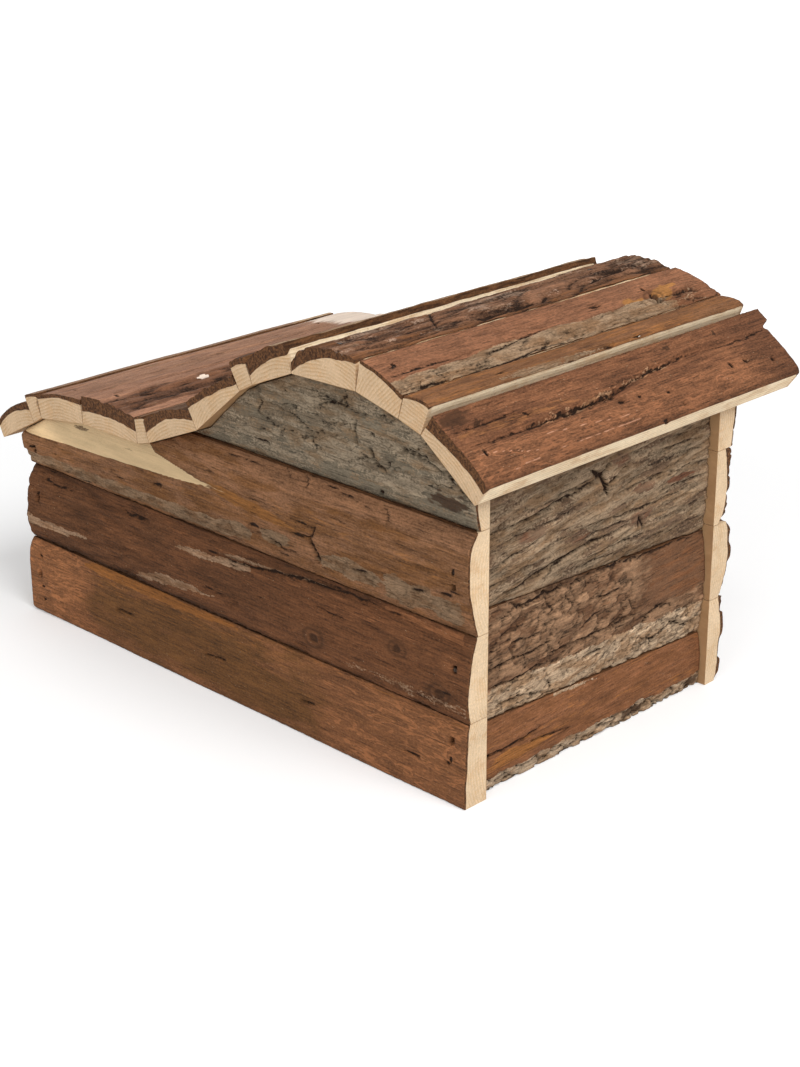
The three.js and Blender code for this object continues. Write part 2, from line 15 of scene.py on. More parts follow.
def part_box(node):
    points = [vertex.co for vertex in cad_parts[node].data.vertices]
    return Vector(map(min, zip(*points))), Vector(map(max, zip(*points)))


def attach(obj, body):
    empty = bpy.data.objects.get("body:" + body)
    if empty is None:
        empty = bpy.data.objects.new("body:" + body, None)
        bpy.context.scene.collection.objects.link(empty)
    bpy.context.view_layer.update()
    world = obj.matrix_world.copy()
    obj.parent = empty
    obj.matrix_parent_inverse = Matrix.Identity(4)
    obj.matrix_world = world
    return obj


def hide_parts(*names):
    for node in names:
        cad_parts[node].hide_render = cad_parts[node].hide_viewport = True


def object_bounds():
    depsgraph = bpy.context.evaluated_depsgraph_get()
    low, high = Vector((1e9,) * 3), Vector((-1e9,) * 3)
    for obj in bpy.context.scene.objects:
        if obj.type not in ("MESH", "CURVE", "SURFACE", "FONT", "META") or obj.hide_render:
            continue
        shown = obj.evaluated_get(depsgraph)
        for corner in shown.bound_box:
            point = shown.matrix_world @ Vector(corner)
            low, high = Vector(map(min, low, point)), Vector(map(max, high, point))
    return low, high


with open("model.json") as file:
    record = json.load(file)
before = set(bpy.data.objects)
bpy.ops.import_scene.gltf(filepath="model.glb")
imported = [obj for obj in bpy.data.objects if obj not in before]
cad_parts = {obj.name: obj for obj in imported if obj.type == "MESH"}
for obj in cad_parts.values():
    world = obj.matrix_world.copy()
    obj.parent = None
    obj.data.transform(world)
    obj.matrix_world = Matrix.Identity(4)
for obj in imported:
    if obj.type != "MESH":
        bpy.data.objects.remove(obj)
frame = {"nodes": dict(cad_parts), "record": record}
cad_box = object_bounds()

MM = 0.001

# The camera, fitted to the straight edges of the photographed walls and roof.
CAMERA_PLACE = (-629.9, 626.6, 404.9)
CAMERA_AZIMUTH = 224.717
CAMERA_ELEVATION = 21.878
CAMERA_ROLL = -0.218
FOCAL_PIXELS = 2052.8
PHOTO_HEIGHT = 1067
SENSOR = 36.0
CLIPPING = (0.05, 40)

# The grid of a bark face, and the steps down its sawn sides.
SPACING = 0.8
WOOD_SHARES = (0.5, 0.97, 1.0)

# The gap under the roof, the thinnest board, and a first guess of a board's thickness, mended in rounds.
SEAT_GAP = 0.4
THINNEST = 0.2
TYPICAL_THICKNESS = 8.0
THICKNESS_ROUNDS = 5

# How closely two equal measures of a CAD board agree, and the least length and thickness of a strip.
ROUNDING = 0.02
SHORTEST_FLAT = 1.0
LOWEST_TOP = 0.5

# Rays that measure the CAD boards' bark sides.
RAY_LENGTH = 40
RAY_STEP_ALONG = 1.6
RAY_STEP_ACROSS = 0.9
RAY_MARGIN_ALONG = 0.3
RAY_MARGIN_ACROSS = 0.2
FACING = 0.62
BRAD_MARGIN = 2.6
WIDEST_FURROW = 7.2

# How far from a split the bark still knows of it, and how far inside it.
SPLIT_REACH = 3.0
SPLIT_DEPTH = 0.4

# The size of the chips that break the bark's border, and how far from the border they are felt.
CHIP_SIZE = 2.2
CHIP_REACH = 1.2

# The bark at the sawn sides: its least thickness, its greatest share, and how far in the ends' bark goes.
THINNEST_BARK = 0.15
BARK_SHARE = 0.8
END_REACH = 3.0

# The depth at which a CAD board's own furrows begin to darken with painted shade and to split, and how the
# painted shade deepens.
FURROW_START = 0.3
FURROW_SPLIT = 1.15
FURROW_SHADE = 0.55
FURROW_SOFT = 1.2

# How many seeds there are, and how many places, this far apart, the materials' noise is read at.
SEEDS = 9973
NOISE_PLACES = 97
NOISE_STEP = 13.0

# The plane over the rear wall on which its recipes' places lie, as the camera sees them.
RECIPE_PLANE = 100.5

# The doorway in the front wall.
DOORWAY_HEIGHT = 86

# The bark over a brad's head, half the size of the slot in it, and how soft their edges are.
COVER_RADIUS = 1.4
PIT_SIZE = (0.5, 1.2)
PIT_CLEARANCE = 0.15
COVER_SOFT = 0.8
PIT_SOFT = 0.7

# A brad is in a board when it goes in by this much, with its head this near to the board's grid.
SHORTEST_BRAD = 4.0
FARTHEST_HEAD = 2.0

# The surroundings' light, and each lamp's place and size in metres and its power in watts.
AMBIENT = 0.5
LAMPS = {"key": ((-1.1, 0.2, 1.5), 1.0, 22), "fill": ((-0.4, 1.6, 0.7), 1.2, 6.4)}
LAMP_AIM = (0, 0, 0.08)

# The floor's half width and place in metres, its glow, and over which millimetres that grows to the full.
FLOOR_REACH = 7.0
FLOOR_PLACE = (0, 0, -0.0002)
FLOOR_GLOW = 0.2
FLOOR_FADE = (250, 1200)

# The bead of glue on the twelfth strip: its place and size, how far down its dome goes, and its corners.
BEAD_PLACE = (-125.4, -24.5, 163.3)
BEAD_SIZE = (1.5, 1.9, 1.0)
BEAD_LEAN = 0.62 * math.pi
BEAD_RINGS = 10
BEAD_TURNS = 20


# Numbers that repeat on each run.

def smooth(value):
    """Eases from 0 to 1 as value goes from 0 to 1."""
    value = np.clip(value, 0, 1)
    return value * value * (3 - 2 * value)


def hashed(column, row, seed):
    """A random number from 0 to 1 for each whole-number place, the same on every run."""
    number = column.astype(np.int64) * 374761393 + row.astype(np.int64) * 668265263 + seed * 974634777
    number = number & 0xFFFFFFFF
    number = ((number ^ (number >> 13)) * 1274126177) & 0xFFFFFFFF
    return ((number ^ (number >> 16)) & 0xFFFFFF) / 0xFFFFFF


def gradient_noise(x, y, seed):
    """Smooth noise from about -1 to 1 with one bump per unit."""
    column, row = np.floor(x), np.floor(y)
    right, up = x - column, y - row

    def corner(across, above):
        angle = 2 * math.pi * hashed(column + across, row + above, seed)
        return np.cos(angle) * (right - across) + np.sin(angle) * (up - above)

    ease = smooth(right)
    low = corner(0, 0) * (1 - ease) + corner(1, 0) * ease
    high = corner(0, 1) * (1 - ease) + corner(1, 1) * ease
    return 1.5 * (low + (high - low) * smooth(up))


def layered_noise(x, y, seed, octaves):
    """Noise with finer and weaker copies of itself on top."""
    total = np.zeros_like(x)
    for octave in range(octaves):
        total += gradient_noise(x * 2 ** octave, y * 2 ** octave, seed + 31 * octave) / 2 ** octave
    return total


def cells(x, y, seed):
    """Scattered cells: how far the nearest edge is, a random number per cell, and the place in the cell."""
    column, row = np.floor(x), np.floor(y)
    nearest = np.full_like(x, np.inf)
    second = np.full_like(x, np.inf)
    number = np.zeros_like(x)
    inside = np.zeros_like(x)
    for across in (-1, 0, 1):
        for above in (-1, 0, 1):
            far_x = column + across + hashed(column + across, row + above, seed) - x
            far_y = row + above + hashed(column + across, row + above, seed + 7) - y
            distance = np.hypot(far_x, far_y)
            closer = distance < nearest
            second = np.where(closer, nearest, np.minimum(second, distance))
            number = np.where(closer, hashed(column + across, row + above, seed + 13), number)
            inside = np.where(closer, -far_y, inside)
            nearest = np.where(closer, distance, nearest)
    return second - nearest, number, inside


# The frame's boards, measured.

def box(node):
    """The lowest and the highest corner of a CAD node, in millimetres."""
    low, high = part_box(node)
    return np.array(low) / MM, np.array(high) / MM


def corners_of(node):
    """A CAD node's vertices, in millimetres."""
    return np.array([vertex.co for vertex in frame["nodes"][node].data.vertices]) / MM


def seat_of(node):
    """A roof strip's underside from its low to its high end in x and z, and how far its sides lean."""
    points = corners_of(node)
    rear = points[points[:, 1] > points[:, 1].max() - ROUNDING]
    outline = np.unique(np.round(rear[:, (0, 2)], 3), axis=0)
    best = None
    for first in outline:
        for last in outline:
            span = last - first
            length = np.linalg.norm(span)
            if length < SHORTEST_FLAT or span[0] > 0:
                continue
            outward = np.array([span[1], -span[0]]) / length
            below = ((outline - first) @ outward).min() < -ROUNDING
            if not below and (best is None or outward[1] > best[3][1]):
                best = first, last, span / length, outward
    start, end, run, outward = best
    top = outline[(outline - start) @ outward > LOWEST_TOP]
    across = (top - start) @ run
    near, far = top[across.argmin()] - start, top[across.argmax()] - end
    return start, end, run, outward, (near @ run / (near @ outward), far @ run / (far @ outward))


def roof_line(x):
    """The height of the strips' undersides over the walls."""
    corners = sorted(tuple(point) for seat in SEATS.values() for point in seat[:2])
    return np.interp(x, [corner[0] for corner in corners], [corner[1] for corner in corners])


def filled(grid):
    """The grid with its gaps closed, first along its columns and then along its rows."""
    for lines in (grid.T, grid):
        for line in lines:
            known = np.flatnonzero(~np.isnan(line))
            if len(known):
                line[:] = np.interp(np.arange(len(line)), known, line[known])
    return grid


def valleys(grid, reach):
    """How far each place lies under ground that rises again within reach on both sides."""
    padded = np.pad(grid, ((0, 0), (reach, reach)), constant_values=-np.inf)
    shifted = [padded[:, shift:shift + grid.shape[1]] for shift in range(2 * reach + 1)]
    return np.minimum(np.max(shifted[:reach + 1], axis=0), np.max(shifted[reach:], axis=0)) - grid


class CadBark:
    """The bark side of a CAD board: how high it stands over its flat back, and how deep its furrows are."""

    def __init__(self, node, origin, directions, out):
        data = frame["nodes"][node].data
        tree = BVHTree.FromPolygons([v.co for v in data.vertices], [p.vertices[:] for p in data.polygons])
        along, across = directions
        points = corners_of(node) - origin
        ranges = [(points @ direction).min() for direction in directions]
        ranges += [(points @ direction).max() for direction in directions]
        self.rows = np.arange(ranges[0] + RAY_MARGIN_ALONG, ranges[2], RAY_STEP_ALONG)
        self.columns = np.arange(ranges[1] + RAY_MARGIN_ACROSS, ranges[3], RAY_STEP_ACROSS)
        found = np.full((len(self.rows), len(self.columns)), np.nan)
        for row, near in enumerate(self.rows):
            for column, side in enumerate(self.columns):
                place = origin + near * along + side * across + RAY_LENGTH * out
                _, normal, _, distance = tree.ray_cast(Vector(place * MM), Vector(-out))
                if normal is not None and abs(np.dot(normal, out)) > FACING:
                    found[row, column] = RAY_LENGTH - distance / MM
        for brad in BRADS:
            middle = (box(brad)[0] + box(brad)[1]) / 2 - origin
            reach = np.hypot(self.rows[:, None] - middle @ along, self.columns - middle @ across)
            found[reach < BRAD_MARGIN] = np.nan
        found = filled(found)
        self.furrows = valleys(found, round(WIDEST_FURROW / 2 / RAY_STEP_ACROSS))
        found[1:-1] = (found[:-2] + 2 * found[1:-1] + found[2:]) / 4
        self.heights = found

    def read(self, grid, along, across):
        """A grid's value at places between its rows and columns."""
        row = np.interp(along, self.rows, np.arange(len(self.rows)))
        column = np.interp(across, self.columns, np.arange(len(self.columns)))
        top = np.minimum(row.astype(int), len(self.rows) - 2)
        left = np.minimum(column.astype(int), len(self.columns) - 2)
        down, right = row - top, column - left
        near = grid[top, left] * (1 - down) + grid[top + 1, left] * down
        far = grid[top, left + 1] * (1 - down) + grid[top + 1, left + 1] * down
        return near * (1 - right) + far * right


# Bark, as relief in millimetres and as how strongly each colour shows.

class Skin:
    """The bark of one board on its grid. Its features are placed in millimetres along and across the grain.

    flow is the place across the grain where that runs at a slope. split is the distance to the nearest
    split, in millimetres and below 0 inside it, from which the material draws the split sharply. gloom is
    how dark the painted shade in the solid board's own furrows is.
    """

    def __init__(self, along, across, low_gap, high_gap, seed):
        self.along, self.across, self.flow, self.seed = along, across, across, seed
        self.low_gap, self.high_gap = low_gap, high_gap
        self.relief = np.zeros_like(along)
        self.grey = np.zeros_like(along)
        self.orange = np.zeros_like(along)
        self.pale = np.zeros_like(along)
        self.stain_and_shade = np.zeros_like(along)
        self.tone = np.full_like(along, 0.5)
        self.split = np.full_like(along, SPLIT_REACH)
        self.gloom = 1.0

    def noise(self, length, width, salt=0, octaves=3):
        """Noise whose bumps are length by width along and across the grain."""
        return layered_noise(self.along / length, self.flow / width, self.seed + 101 * salt, octaves)

    def strew(self, length, width, amount, salt):
        """Patches that cover about this share of the board, with soft edges."""
        level = self.noise(length, width, salt, 4) * 0.5 + 0.5
        return smooth((level - (1 - amount)) / 0.12 + 0.5)

    def band(self, line, ragged=1.0, soft=1.5):
        """A streak along the grain, through points of along, across and half width."""
        line = sorted(line)
        at = [point[0] for point in line]
        centre = np.interp(self.along, at, [point[1] for point in line])
        half = np.interp(self.along, at, [point[2] for point in line], left=-soft, right=-soft)
        wander = ragged * self.noise(9, 3, 3, 3)
        return smooth((half - abs(self.across + wander - centre)) / soft + 0.5)

    def spot(self, along, across, length, width, ragged=0.35):
        """An oval patch with an uneven edge."""
        reach = np.hypot((self.along - along) / length, (self.across - across) / width)
        return smooth((1 - reach + ragged * self.noise(length * 0.7, width * 0.7, 5)) / 0.4 + 0.3)

    def spots(self, layer, amount, places, ragged=0.35):
        """Lets a layer show in several oval patches, each at a place along and across and of a size."""
        for place in places:
            self.show(layer, amount * self.spot(*place, ragged))

    def show(self, layer, where):
        """Lets one of the layers show there, unless it shows more already."""
        setattr(self, layer, np.maximum(getattr(self, layer), where))

    def darken(self, where):
        """Darkens the bark there, for stains and for painted shade, unless it is darker already."""
        self.show("stain_and_shade", where)

    def crack(self, points, width=0.8, depth=1.0, ragged=0.8, faint=0.0):
        """An open crack through points of along and across, thin at both ends. A faint one is thinner."""
        x = self.along + ragged * self.noise(6, 4, 7)
        y = self.across + ragged * self.noise(6, 4, 8)
        total = sum(math.dist(a, b) for a, b in zip(points, points[1:]))
        passed = 0
        gap = np.full_like(x, SPLIT_REACH)
        for (x0, y0), (x1, y1) in zip(points, points[1:]):
            length = math.dist((x0, y0), (x1, y1))
            share = np.clip(((x - x0) * (x1 - x0) + (y - y0) * (y1 - y0)) / length ** 2, 0, 1)
            distance = np.hypot(x - x0 - share * (x1 - x0), y - y0 - share * (y1 - y0))
            run = (passed + share * length) / total
            half = width * (0.9 * np.sqrt(np.clip(4 * run * (1 - run), 0, 1)) - 0.3)
            gap = np.minimum(gap, distance - half)
            passed += length
        self.relief -= depth * smooth(1 - gap / 0.9)
        self.split = np.minimum(self.split, gap + faint)

    def cracks(self, rows):
        """Several open cracks, each with its points and then with what else the crack takes."""
        for row in rows:
            self.crack(*row)

    def hairlines(self, lines, width=0.35, depth=0.5, faint=0.05):
        """Several thin cracks, each through points of along and across."""
        for points in lines:
            self.crack(points, width, depth, 0.7, faint)

    def slits(self, places, width=0.55):
        """Short dark splits along the grain, each at a place along and across and of a length."""
        for along, across, length in places:
            ends = [(along - length / 2, across + 0.3), (along, across), (along + length / 2, across - 0.3)]
            self.crack(ends, width, 1.0, 0.5)

    def knot(self, along, across, radius):
        """A small grown-over knot: dark rings round a pit."""
        reach = np.hypot((self.along - along) / 1.4, self.across - across) + 0.4 * self.noise(5, 4, 9)
        inside = smooth((1.4 - reach / radius) / 0.5)
        rings = 0.5 + 0.5 * np.cos(2 * math.pi * reach / (0.5 * radius))
        middle = smooth(1.3 - reach / (0.35 * radius))
        self.relief += inside * (0.3 * rings - 0.15) - 0.6 * middle
        self.tone -= 0.3 * inside
        self.darken(inside * (0.2 + 0.35 * (1 - rings)) + 0.4 * middle)

    def smooth_bark(self, amount=1.0):
        """Gentle swells and thin fibre lines."""
        self.relief += amount * (0.35 * self.noise(60, 16, 21) + 0.12 * self.noise(26, 2.2, 22))
        self.relief += amount * 0.08 * self.noise(5, 1.8, 23)

    def fibrous_bark(self, amount=1.0):
        """Stringy ridges of fibres with short dark fissures."""
        self.smooth_bark(amount)
        self.relief += amount * 0.24 * self.noise(34, 3, 24)
        fissure = (0.9 - self.noise(16, 2, 25, 2)) * 2.4
        self.relief -= amount * 0.5 * smooth(1 - fissure)
        self.split = np.minimum(self.split, np.maximum(fissure, -0.3) + 0.4 * (1 - amount))

    def lay(self, where, relief, gap, keep=0.4):
        """Lays one kind of relief over part of the board, with its splits."""
        self.relief += where * (relief - (1 - keep) * self.relief)
        self.split = np.minimum(self.split, np.maximum(gap, -SPLIT_DEPTH) + SPLIT_REACH * (1 - where))

    def furrows(self, where, pitch, length, depth, faint=0.0):
        """Long ridges along the grain, with narrow valleys that wander and join. Faint ones are thinner."""
        wander = pitch * 0.7 * self.noise(length * 0.8, pitch * 3, 31, 2) + 0.25 * self.noise(6, 4, 35)
        level = gradient_noise(self.along / length, (self.flow + wander) / pitch, self.seed + 32)
        fine = gradient_noise(self.along / length * 1.8, (self.flow + wander) / pitch * 2.2, self.seed + 33)
        valley = abs(level) * pitch / 1.7 - 0.05
        groove = abs(fine) * pitch / 3.6 + 0.12 + 1.2 * smooth(self.noise(length * 0.6, pitch * 2, 36) + 0.45)
        relief = depth * (0.75 * np.sqrt(abs(level)) - 0.8 * smooth(1 - valley / 1.0) + 0.2 * fine - 0.25)
        relief -= 0.4 * depth * smooth(1 - groove / 0.8)
        self.lay(where, relief + 0.12 * self.noise(5, 2.2, 34), np.minimum(valley, groove) + faint)

    def scales(self, where, length, width, depth):
        """Small flaking plates, each at its own height and tilt."""
        x = self.along / length + 0.35 * self.noise(length, width * 2, 41)
        y = self.flow / width + 0.35 * self.noise(length, width * 2, 42)
        edge, number, inside = cells(x, y, self.seed + 43)
        whole = smooth(-(self.noise(length * 1.5, width * 3, 44) + 0.25) / 0.5)
        gap = edge * width * 0.6 - 0.12 + 1.5 * whole
        relief = depth * (0.9 * (number - 0.6) + 0.5 * inside - 0.6 * smooth(1 - gap / 0.9))
        self.lay(where, relief + 0.12 * self.noise(4, 2.2, 45), gap)
        self.tone += where * 0.4 * (number - 0.5)

    def plates(self, where, length, width, depth, open_share=0.6, faint=0.0):
        """Broad flat plates of old bark with thin broken cracks between them, thinner when faint."""
        x = self.along / length + 0.3 * self.noise(length * 0.6, width * 0.9, 51)
        y = self.flow / width + 0.3 * self.noise(length * 0.6, width * 0.9, 52)
        edge, number, _ = cells(x, y, self.seed + 53)
        whole = smooth(-(self.noise(length, width, 54) + open_share) / 0.4 + 1)
        gap = edge * width * 0.7 - 0.1 + 2 * whole
        relief = depth * (0.5 * (number - 0.5) - 0.8 * smooth(1 - gap / 0.8)) + 0.18 * self.noise(7, 3, 55)
        self.lay(where, relief, gap + faint)
        self.tone += where * 0.3 * (number - 0.5)

    def crumble(self, low=0.0, high=0.0, reach=3.0):
        """Dark crumbly bark along the lower and the upper long edge."""
        grit = self.noise(4, 1.8, 61, 4)
        patches = 0.45 + 0.75 * self.noise(38, 60, 62, 2)
        for gap, amount in ((self.low_gap, low), (self.high_gap, high)):
            near = np.exp(-(gap / reach) ** 2) * np.clip(patches, 0.12, 1.2) * amount
            self.relief -= near * (0.8 + 0.9 * grit)
            self.darken(smooth(near * (0.9 - 0.7 * grit) * 1.2 - 0.15))

    def bulge(self, amount, start, end):
        """Lets the board's middle stand out, more and more from start to end along the grain."""
        edges = np.exp(-self.low_gap / 4) + np.exp(-self.high_gap / 4)
        self.relief += amount * smooth((self.along - start) / (end - start)) * (1 - edges)

    def rounded(self, amount=0.7, reach=1.3):
        """Lets both long edges fall away a little."""
        self.relief -= amount * (np.exp(-self.low_gap / reach) + np.exp(-self.high_gap / reach))


# Boards, as closed meshes around those grids.

def border(rows, columns):
    """The places round a grid's border, in order."""
    row = [np.arange(rows - 1), np.full(columns - 1, rows - 1), np.arange(rows - 1, 0, -1)]
    column = [np.zeros(rows - 1, int), np.arange(columns - 1), np.full(rows - 1, columns - 1)]
    row.append(np.zeros(columns - 1, int))
    column.append(np.arange(columns - 1, 0, -1))
    return np.concatenate(row), np.concatenate(column)


class Board:
    """One board: where its grid lies, how thick it is, and how its bark and wood look.

    place gives the point at shares s of its length and t of its width, and at a height above its flat back.
    bark is the bark's thickness where t is 0, a half and 1, and side_bark is that along the long sides.
    fresh_and_painted_light is how pale the sawn wood is at the ends and along the long sides, and above 1 it
    is also painted light on the roof strips' shaded long sides; pith is how far aside of the board and under
    it the year rings' middle lies, and chips is how far the bark's border is broken back.
    """

    def __init__(self, node, slot, place, size, origin, directions, out):
        self.node, self.slot, self.place = node, slot, place
        self.length, self.width = size
        self.origin, self.out = np.array(origin, float), np.array(out, float)
        self.directions = [np.array(direction, float) for direction in directions]
        self.cad = CadBark(node, self.origin, self.directions, self.out)
        self.bark = (1.0, 1.0, 1.0)
        self.side_bark = 3.0
        self.fresh_and_painted_light = (1.0, 1.0)
        self.bark_steps = 2
        self.pith = (0.0, 35.0)
        self.chips = 0.15
        self.highest = math.inf
        self.seed = 1 + sum(ord(letter) * (index + 3) for index, letter in enumerate(node)) % SEEDS

    def grid(self):
        """The shares of length and width at each grid point."""
        step = SPACING
        s = np.linspace(0, 1, max(3, round(self.length / step) + 1))
        t = np.linspace(0, 1, max(3, round(self.width / step) + 1))
        return np.meshgrid(s, t, indexing="ij")

    def points(self, s, t, height):
        """The places as one array."""
        return np.stack(self.place(s, t, height), -1)

    def recipe_places(self, points):
        """The places along and across the grain, which on the rear wall lie on a plane over it."""
        if self.node.startswith("rear"):
            eye = np.array(CAMERA_PLACE)
            points = eye + (points - eye) * ((RECIPE_PLANE - eye[1]) / (points[..., 1:2] - eye[1]))
        return [(points - self.origin) @ direction for direction in self.directions]

    def dress(self, recipe, material):
        """Makes the board's mesh, with its bark from the recipe."""
        s, t = self.grid()
        height = np.full_like(t, TYPICAL_THICKNESS)
        for _ in range(THICKNESS_ROUNDS):
            flat = self.points(s, t, height)
            along, across = [(flat - self.origin) @ direction for direction in self.directions]
            height = self.cad.read(self.cad.heights, along, across)
        skin = Skin(*self.recipe_places(flat), t * self.width, (1 - t) * self.width, self.seed)
        recipe(skin)
        depth = self.cad.read(self.cad.furrows, along, across) + 0.4 * skin.noise(9, 1.8, 81)
        # Painted shade in the CAD board's furrows, darker where they are deeper.
        skin.darken(FURROW_SHADE * skin.gloom * smooth((depth - FURROW_START) / FURROW_SOFT))
        skin.split = np.minimum(skin.split, 2.2 * (FURROW_SPLIT - depth) + 1.2 * (1 - skin.gloom))
        for brad in BRADS:
            self.sink(skin, brad, flat)
        self.make_mesh(s, t, np.clip(height + skin.relief, THINNEST, self.highest), skin, material)

    def sink(self, skin, brad, flat):
        """Covers a brad's head with bark, apart from the small slot that the brad was shot in through."""
        vertices = corners_of(brad)
        level = vertices @ self.out
        head = vertices[level > level.max() - ROUNDING].mean(0)
        away = flat - head
        up = away @ self.out
        near, side = [abs(away @ direction) for direction in self.directions]
        reach = np.hypot(near, side)
        if np.ptp(level) < SHORTEST_BRAD or reach.min() > FARTHEST_HEAD:
            return
        cover = smooth((COVER_RADIUS - reach) / COVER_SOFT + 0.5)
        skin.relief += cover * (np.maximum(skin.relief, PIT_CLEARANCE - up) - skin.relief)
        gap = np.maximum(near - PIT_SIZE[0], side - PIT_SIZE[1])
        pit = smooth(0.5 - gap / PIT_SOFT)
        skin.relief += pit * (-up - PIT_CLEARANCE - skin.relief)
        skin.split = np.minimum(skin.split, gap - 0.1)

    def make_mesh(self, s, t, height, skin, material):
        """Joins the bark face, the sawn border and the flat back into one closed mesh."""
        rows, columns = s.shape
        row, column = border(rows, columns)
        bark = np.interp(t, (0, 0.5, 1), self.bark)
        inward = np.where((t == 0) | (t == 1), smooth(np.minimum(s, 1 - s) * self.length / END_REACH), 0)
        bark = between(bark, self.side_bark, inward) + 0.8 * skin.relief + 0.25 * skin.noise(14, 6, 71)
        bark = np.clip(bark, THINNEST_BARK, height * BARK_SHARE)
        edge_height, edge_bark = height[row, column], bark[row, column]
        wood = edge_height - edge_bark
        depths = [edge_bark * step / self.bark_steps for step in range(1, self.bark_steps + 1)]
        depths += [edge_bark + wood * share for share in WOOD_SHARES]
        levels = [self.points(s, t, height) + self.chip_face(s, skin)]
        for depth in depths:
            level = self.points(s[row, column], t[row, column], edge_height - depth)
            levels.append(level + self.chip_border(s, t, row, column, skin, depth, edge_bark))
        points = np.concatenate([level.reshape(-1, 3) for level in levels])
        quads, back = self.faces(rows, columns, row * columns + column, len(depths))
        mesh = mesh_of(self.node + "_bark", points * MM, quads, back, (rows - 1) * (columns - 1))
        picked = np.concatenate([np.arange(rows * columns)] + [row * columns + column] * len(depths))
        depth = np.concatenate([np.zeros(rows * columns)] + depths)

        def spread(values):
            return values.reshape(-1)[picked]

        offset = self.seed % NOISE_PLACES * NOISE_STEP
        store(mesh, "grain", spread(skin.along) + offset, spread(skin.flow) + offset, -depth)
        side = spread(t) * self.width - self.width / 2 - self.pith[0]
        store(mesh, "form", side, spread(height) - depth + self.pith[1], spread(skin.relief))
        store(mesh, "layers", spread(skin.grey), spread(skin.orange), spread(skin.pale))
        store(mesh, "damage_and_shade", spread(skin.split), spread(skin.stain_and_shade), spread(skin.tone))
        fresh_and_painted_light = spread(between(*self.fresh_and_painted_light, inward))
        # The flat back: aged wood, darkened further as painted shade.
        fresh_and_painted_light[-len(row):] = AGED_AND_SHADED
        store(mesh, "under", depth, spread(bark), fresh_and_painted_light)
        mesh.materials.append(material)
        mesh.materials.append(SAWN)
        piece = added(mesh.name, mesh)
        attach(piece, "root")
        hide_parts(self.node)

    def faces(self, rows, columns, loop, levels):
        """The quads of the bark face and of the border, and the back's outline, all facing out."""
        index = np.arange(rows * columns).reshape(rows, columns)
        corners = index[:-1, :-1], index[1:, :-1], index[1:, 1:], index[:-1, 1:]
        quads = [np.stack(corners, -1).reshape(-1, 4)]
        for level in range(levels):
            below = rows * columns + level * len(loop) + np.arange(len(loop))
            quads.append(np.stack([np.roll(loop, -1), loop, below, np.roll(below, -1)], -1))
            loop = below
        quads, back = np.concatenate(quads), loop[::-1]
        if np.cross(*self.directions) @ self.out < 0:
            quads, back = quads[:, ::-1], back[::-1]
        return quads, back

    def chip_face(self, s, skin):
        """How far the bark face's border is broken back, fading into the face."""
        rough = layered_noise(skin.along / CHIP_SIZE, skin.across / CHIP_SIZE, 5, 3)
        amount = self.chips * np.clip(0.6 + rough, 0, 2)
        shift = np.zeros(s.shape + (3,))
        gaps = (s * self.length, (1 - s) * self.length), (skin.low_gap, skin.high_gap)
        for (near, far), direction in zip(gaps, self.directions):
            fade = np.exp(-(near / CHIP_REACH) ** 2) - np.exp(-(far / CHIP_REACH) ** 2)
            shift += (fade * amount)[..., None] * direction
        return shift

    def chip_border(self, s, t, row, column, skin, depth, bark):
        """The same for the border below: the bark layer is rough there and the sawn wood isn't."""
        along, across = skin.along[row, column], skin.across[row, column]
        rough = layered_noise((along - depth) / CHIP_SIZE, (across + depth) / CHIP_SIZE, 5, 3)
        amount = self.chips * np.clip(0.6 + rough, 0, 2) * smooth((bark * 1.02 - depth) / 0.3)
        shift = np.zeros(row.shape + (3,))
        for share, direction in zip((s[row, column], t[row, column]), self.directions):
            sign = np.where(share == 0, 1.0, np.where(share == 1, -1.0, 0.0))
            shift += (amount * sign)[:, None] * direction
        return shift


def store(mesh, name, first, second, third):
    """Keeps three numbers for each point of a mesh."""
    values = np.stack([first, second, third], -1).astype(np.float32)
    mesh.attributes.new(name, "FLOAT_VECTOR", "POINT").data.foreach_set("vector", values.ravel())


def mesh_of(name, points, quads, back, smooth_faces):
    """A mesh of quads and one flat back, whose first faces are smooth bark and whose others are sawn."""
    mesh = bpy.data.meshes.new(name)
    mesh.vertices.add(len(points))
    mesh.vertices.foreach_set("co", points.astype(np.float32).ravel())
    loops = np.concatenate([quads.ravel(), back]).astype(np.int32)
    mesh.loops.add(len(loops))
    mesh.loops.foreach_set("vertex_index", loops)
    count = len(quads) + 1
    mesh.polygons.add(count)
    mesh.polygons.foreach_set("loop_start", np.arange(count, dtype=np.int32) * 4)
    mesh.polygons.foreach_set("material_index", (np.arange(count) >= smooth_faces).astype(np.int32))
    mesh.polygons.foreach_set("use_smooth", np.arange(count) < smooth_faces)
    mesh.update(calc_edges=True)
    mesh.validate()
    return mesh


def added(name, data):
    """A new object in the scene."""
    piece = bpy.data.objects.new(name, data)
    bpy.context.scene.collection.objects.link(piece)
    return piece


def between(low, high, share):
    """The value at a share of the way."""
    return low + (high - low) * share


